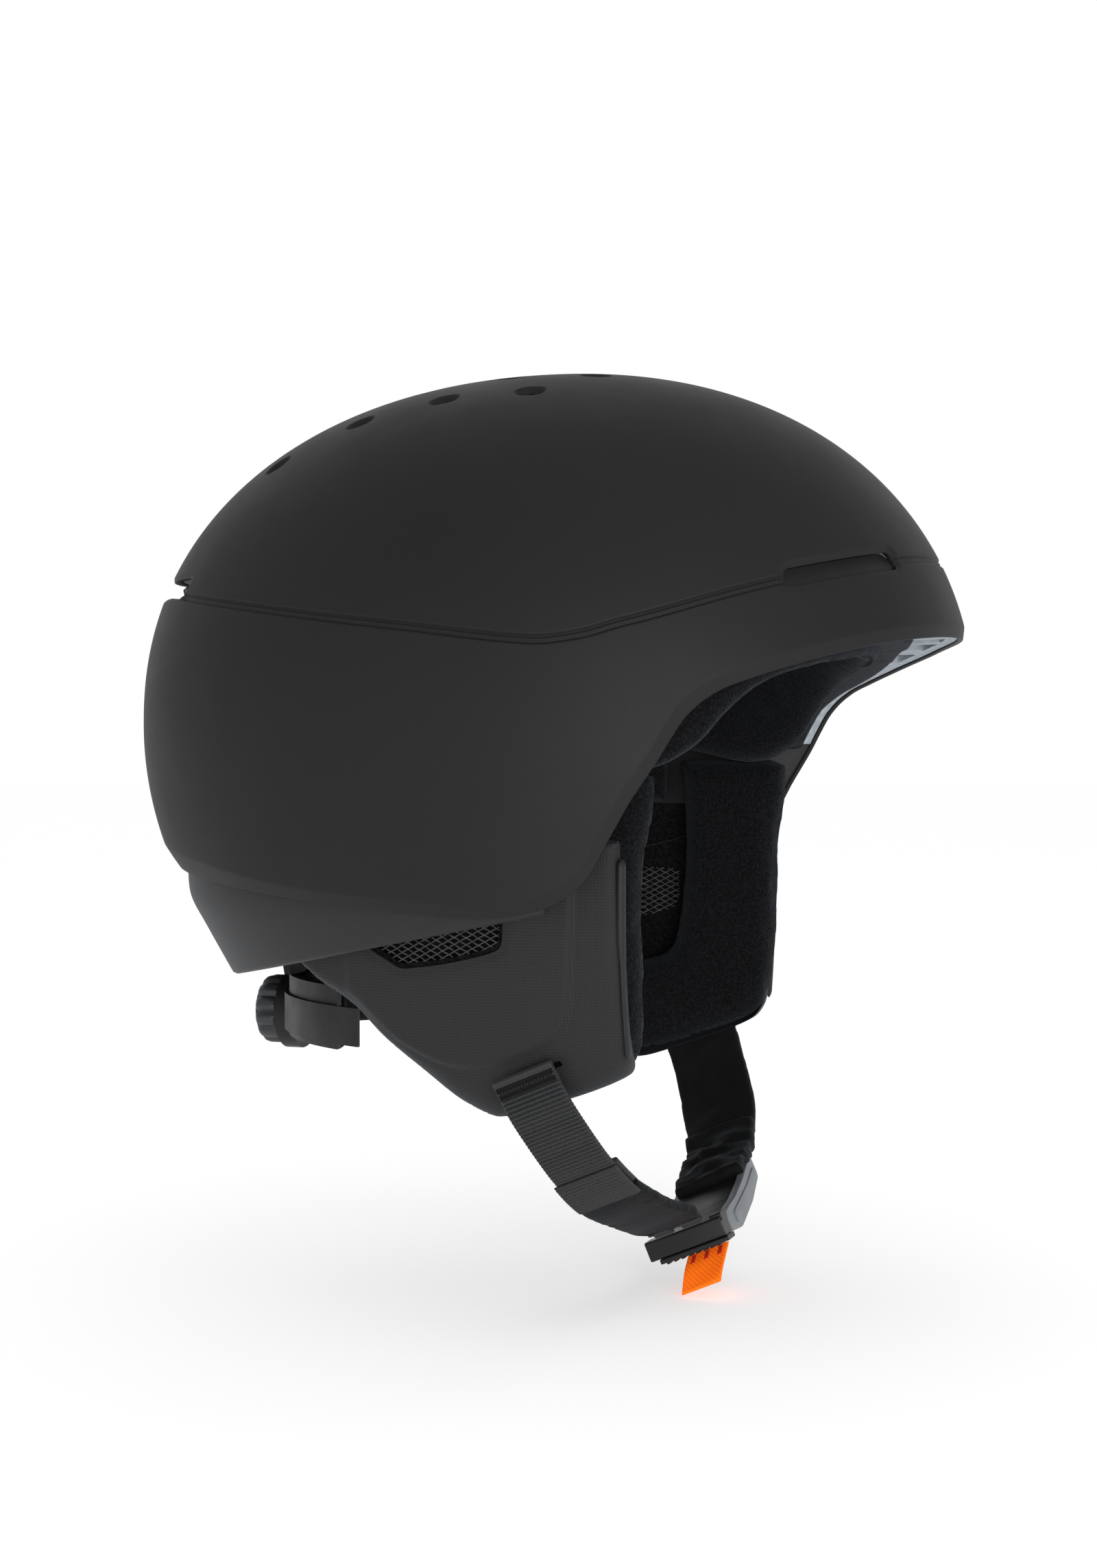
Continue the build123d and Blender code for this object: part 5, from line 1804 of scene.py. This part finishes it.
def squared(wave):
    """A wave between -1 and 1 made squarer, for a section with full corners."""
    return np.sign(wave) * np.abs(wave) ** 0.6


def make_fit_pieces():
    """The grooved dial at the rear and the soft pad on the fit ring's cradle."""
    knob = [
        (2.4, 98.2), (2.5, 103.0), (10.6, 103.0), (11.3, 103.6), (11.6, 105.0), (11.6, 108.2), (11.2, 109.6),
        (10.4, 110.5), (9.2, 111.0), (8.2, 110.8), (7.4, 110.0), (6.8, 109.4), (3.0, 109.6), (0.4, 109.7),
    ]
    mesh = lathe(knob, (0.0, 0.0, -97.0), (0.0, 1.0, 0.0), 144, 12, 1.3, (103.2, 110.6))
    obj = build("dial_grip", *mesh, smooth=35)
    finish_piece(obj, "dial", "knob_grey", ["dial_knob"])
    turn = np.linspace(math.radians(42), math.radians(138), CRADLE_STEPS)
    t = np.linspace(0, 1, 26, endpoint=False) * 2 * np.pi
    rings = []
    for k, a in enumerate(turn):
        from_end = min(k, CRADLE_STEPS - 1 - k, CRADLE_TAPER) / CRADLE_TAPER
        end = math.sqrt(max(0.02, 1 - (1 - from_end) ** 2))
        z = CRADLE_Z + CRADLE_HALF * squared(np.sin(t)) * (0.85 + 0.15 * end)
        out = 0.5 + 0.5 * squared(np.cos(t)) * end
        channel = 0.16 * np.exp(-((z - CRADLE_Z) / 1.5) ** 2)
        out = np.where(out < 0.5, out + channel * end, out)
        x = (65.2 + 5.6 * out) * math.cos(a)
        y = (87.7 + 5.9 * out) * math.sin(a)
        rings.append(np.column_stack([x, y, z]))
    pad = build("cradle_cushion", *fixed_winding(tube_mesh(rings)), smooth=0)
    settle(pad, 0.04, 0.5, 3.0)
    finish_piece(pad, None, "plush_black", ["cradle_pad"])
    PAD_JOBS.append((pad, "fit_ring", None))


def make_goggle_clip():
    """The ribbed flap that holds goggles at the rear, and its hinge barrel."""
    def outline(P):
        return -clip_distance(P, 0.0)

    def depth(P):
        rib = np.exp(-(((P[:, 2] + 20) % 4.0 - 2.0) / 0.7) ** 2) * (P[:, 2] < -14)
        lip = 0.25 * (1 - smoothstep(outline(P), 0, 1.2))
        return 0.15 - 0.35 * rib * (np.abs(P[:, 0]) < 7) + lip

    plate = thicken(*surface_patch(lambda P: outline(P) - 0.25, depth, (1.6, 0.7)), 1.6, 0.25)
    barrel = [(0.9, -9.9), (1.55, -9.9), (1.7, -9.6), (1.7, 9.6), (1.55, 9.9), (0.9, 9.9)]
    turned = lathe(barrel, (0.0, 143.6, 2.0), (1, 0, 0), 32)
    obj = build("goggle_clip_flap", *joined(plate, turned), smooth=40)
    finish_piece(obj, "goggle_clip", "shell_black", ["goggle_clip"])


make_fit_pieces()
make_goggle_clip()


def dress_frame():
    """CAD nodes that stay get the procedural finish that the record names for them."""
    slots = {row["node"]: row["material_slot"] for row in frame["record"]["subparts"]}
    for name, obj in frame["nodes"].items():
        if obj.hide_render:
            continue
        obj.data.materials.clear()
        obj.data.materials.append(MATERIALS[slots[name]])


dress_frame()

for pad, body, bend in PAD_JOBS:
    if bend:
        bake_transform(pad)
    else:
        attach(pad, body)
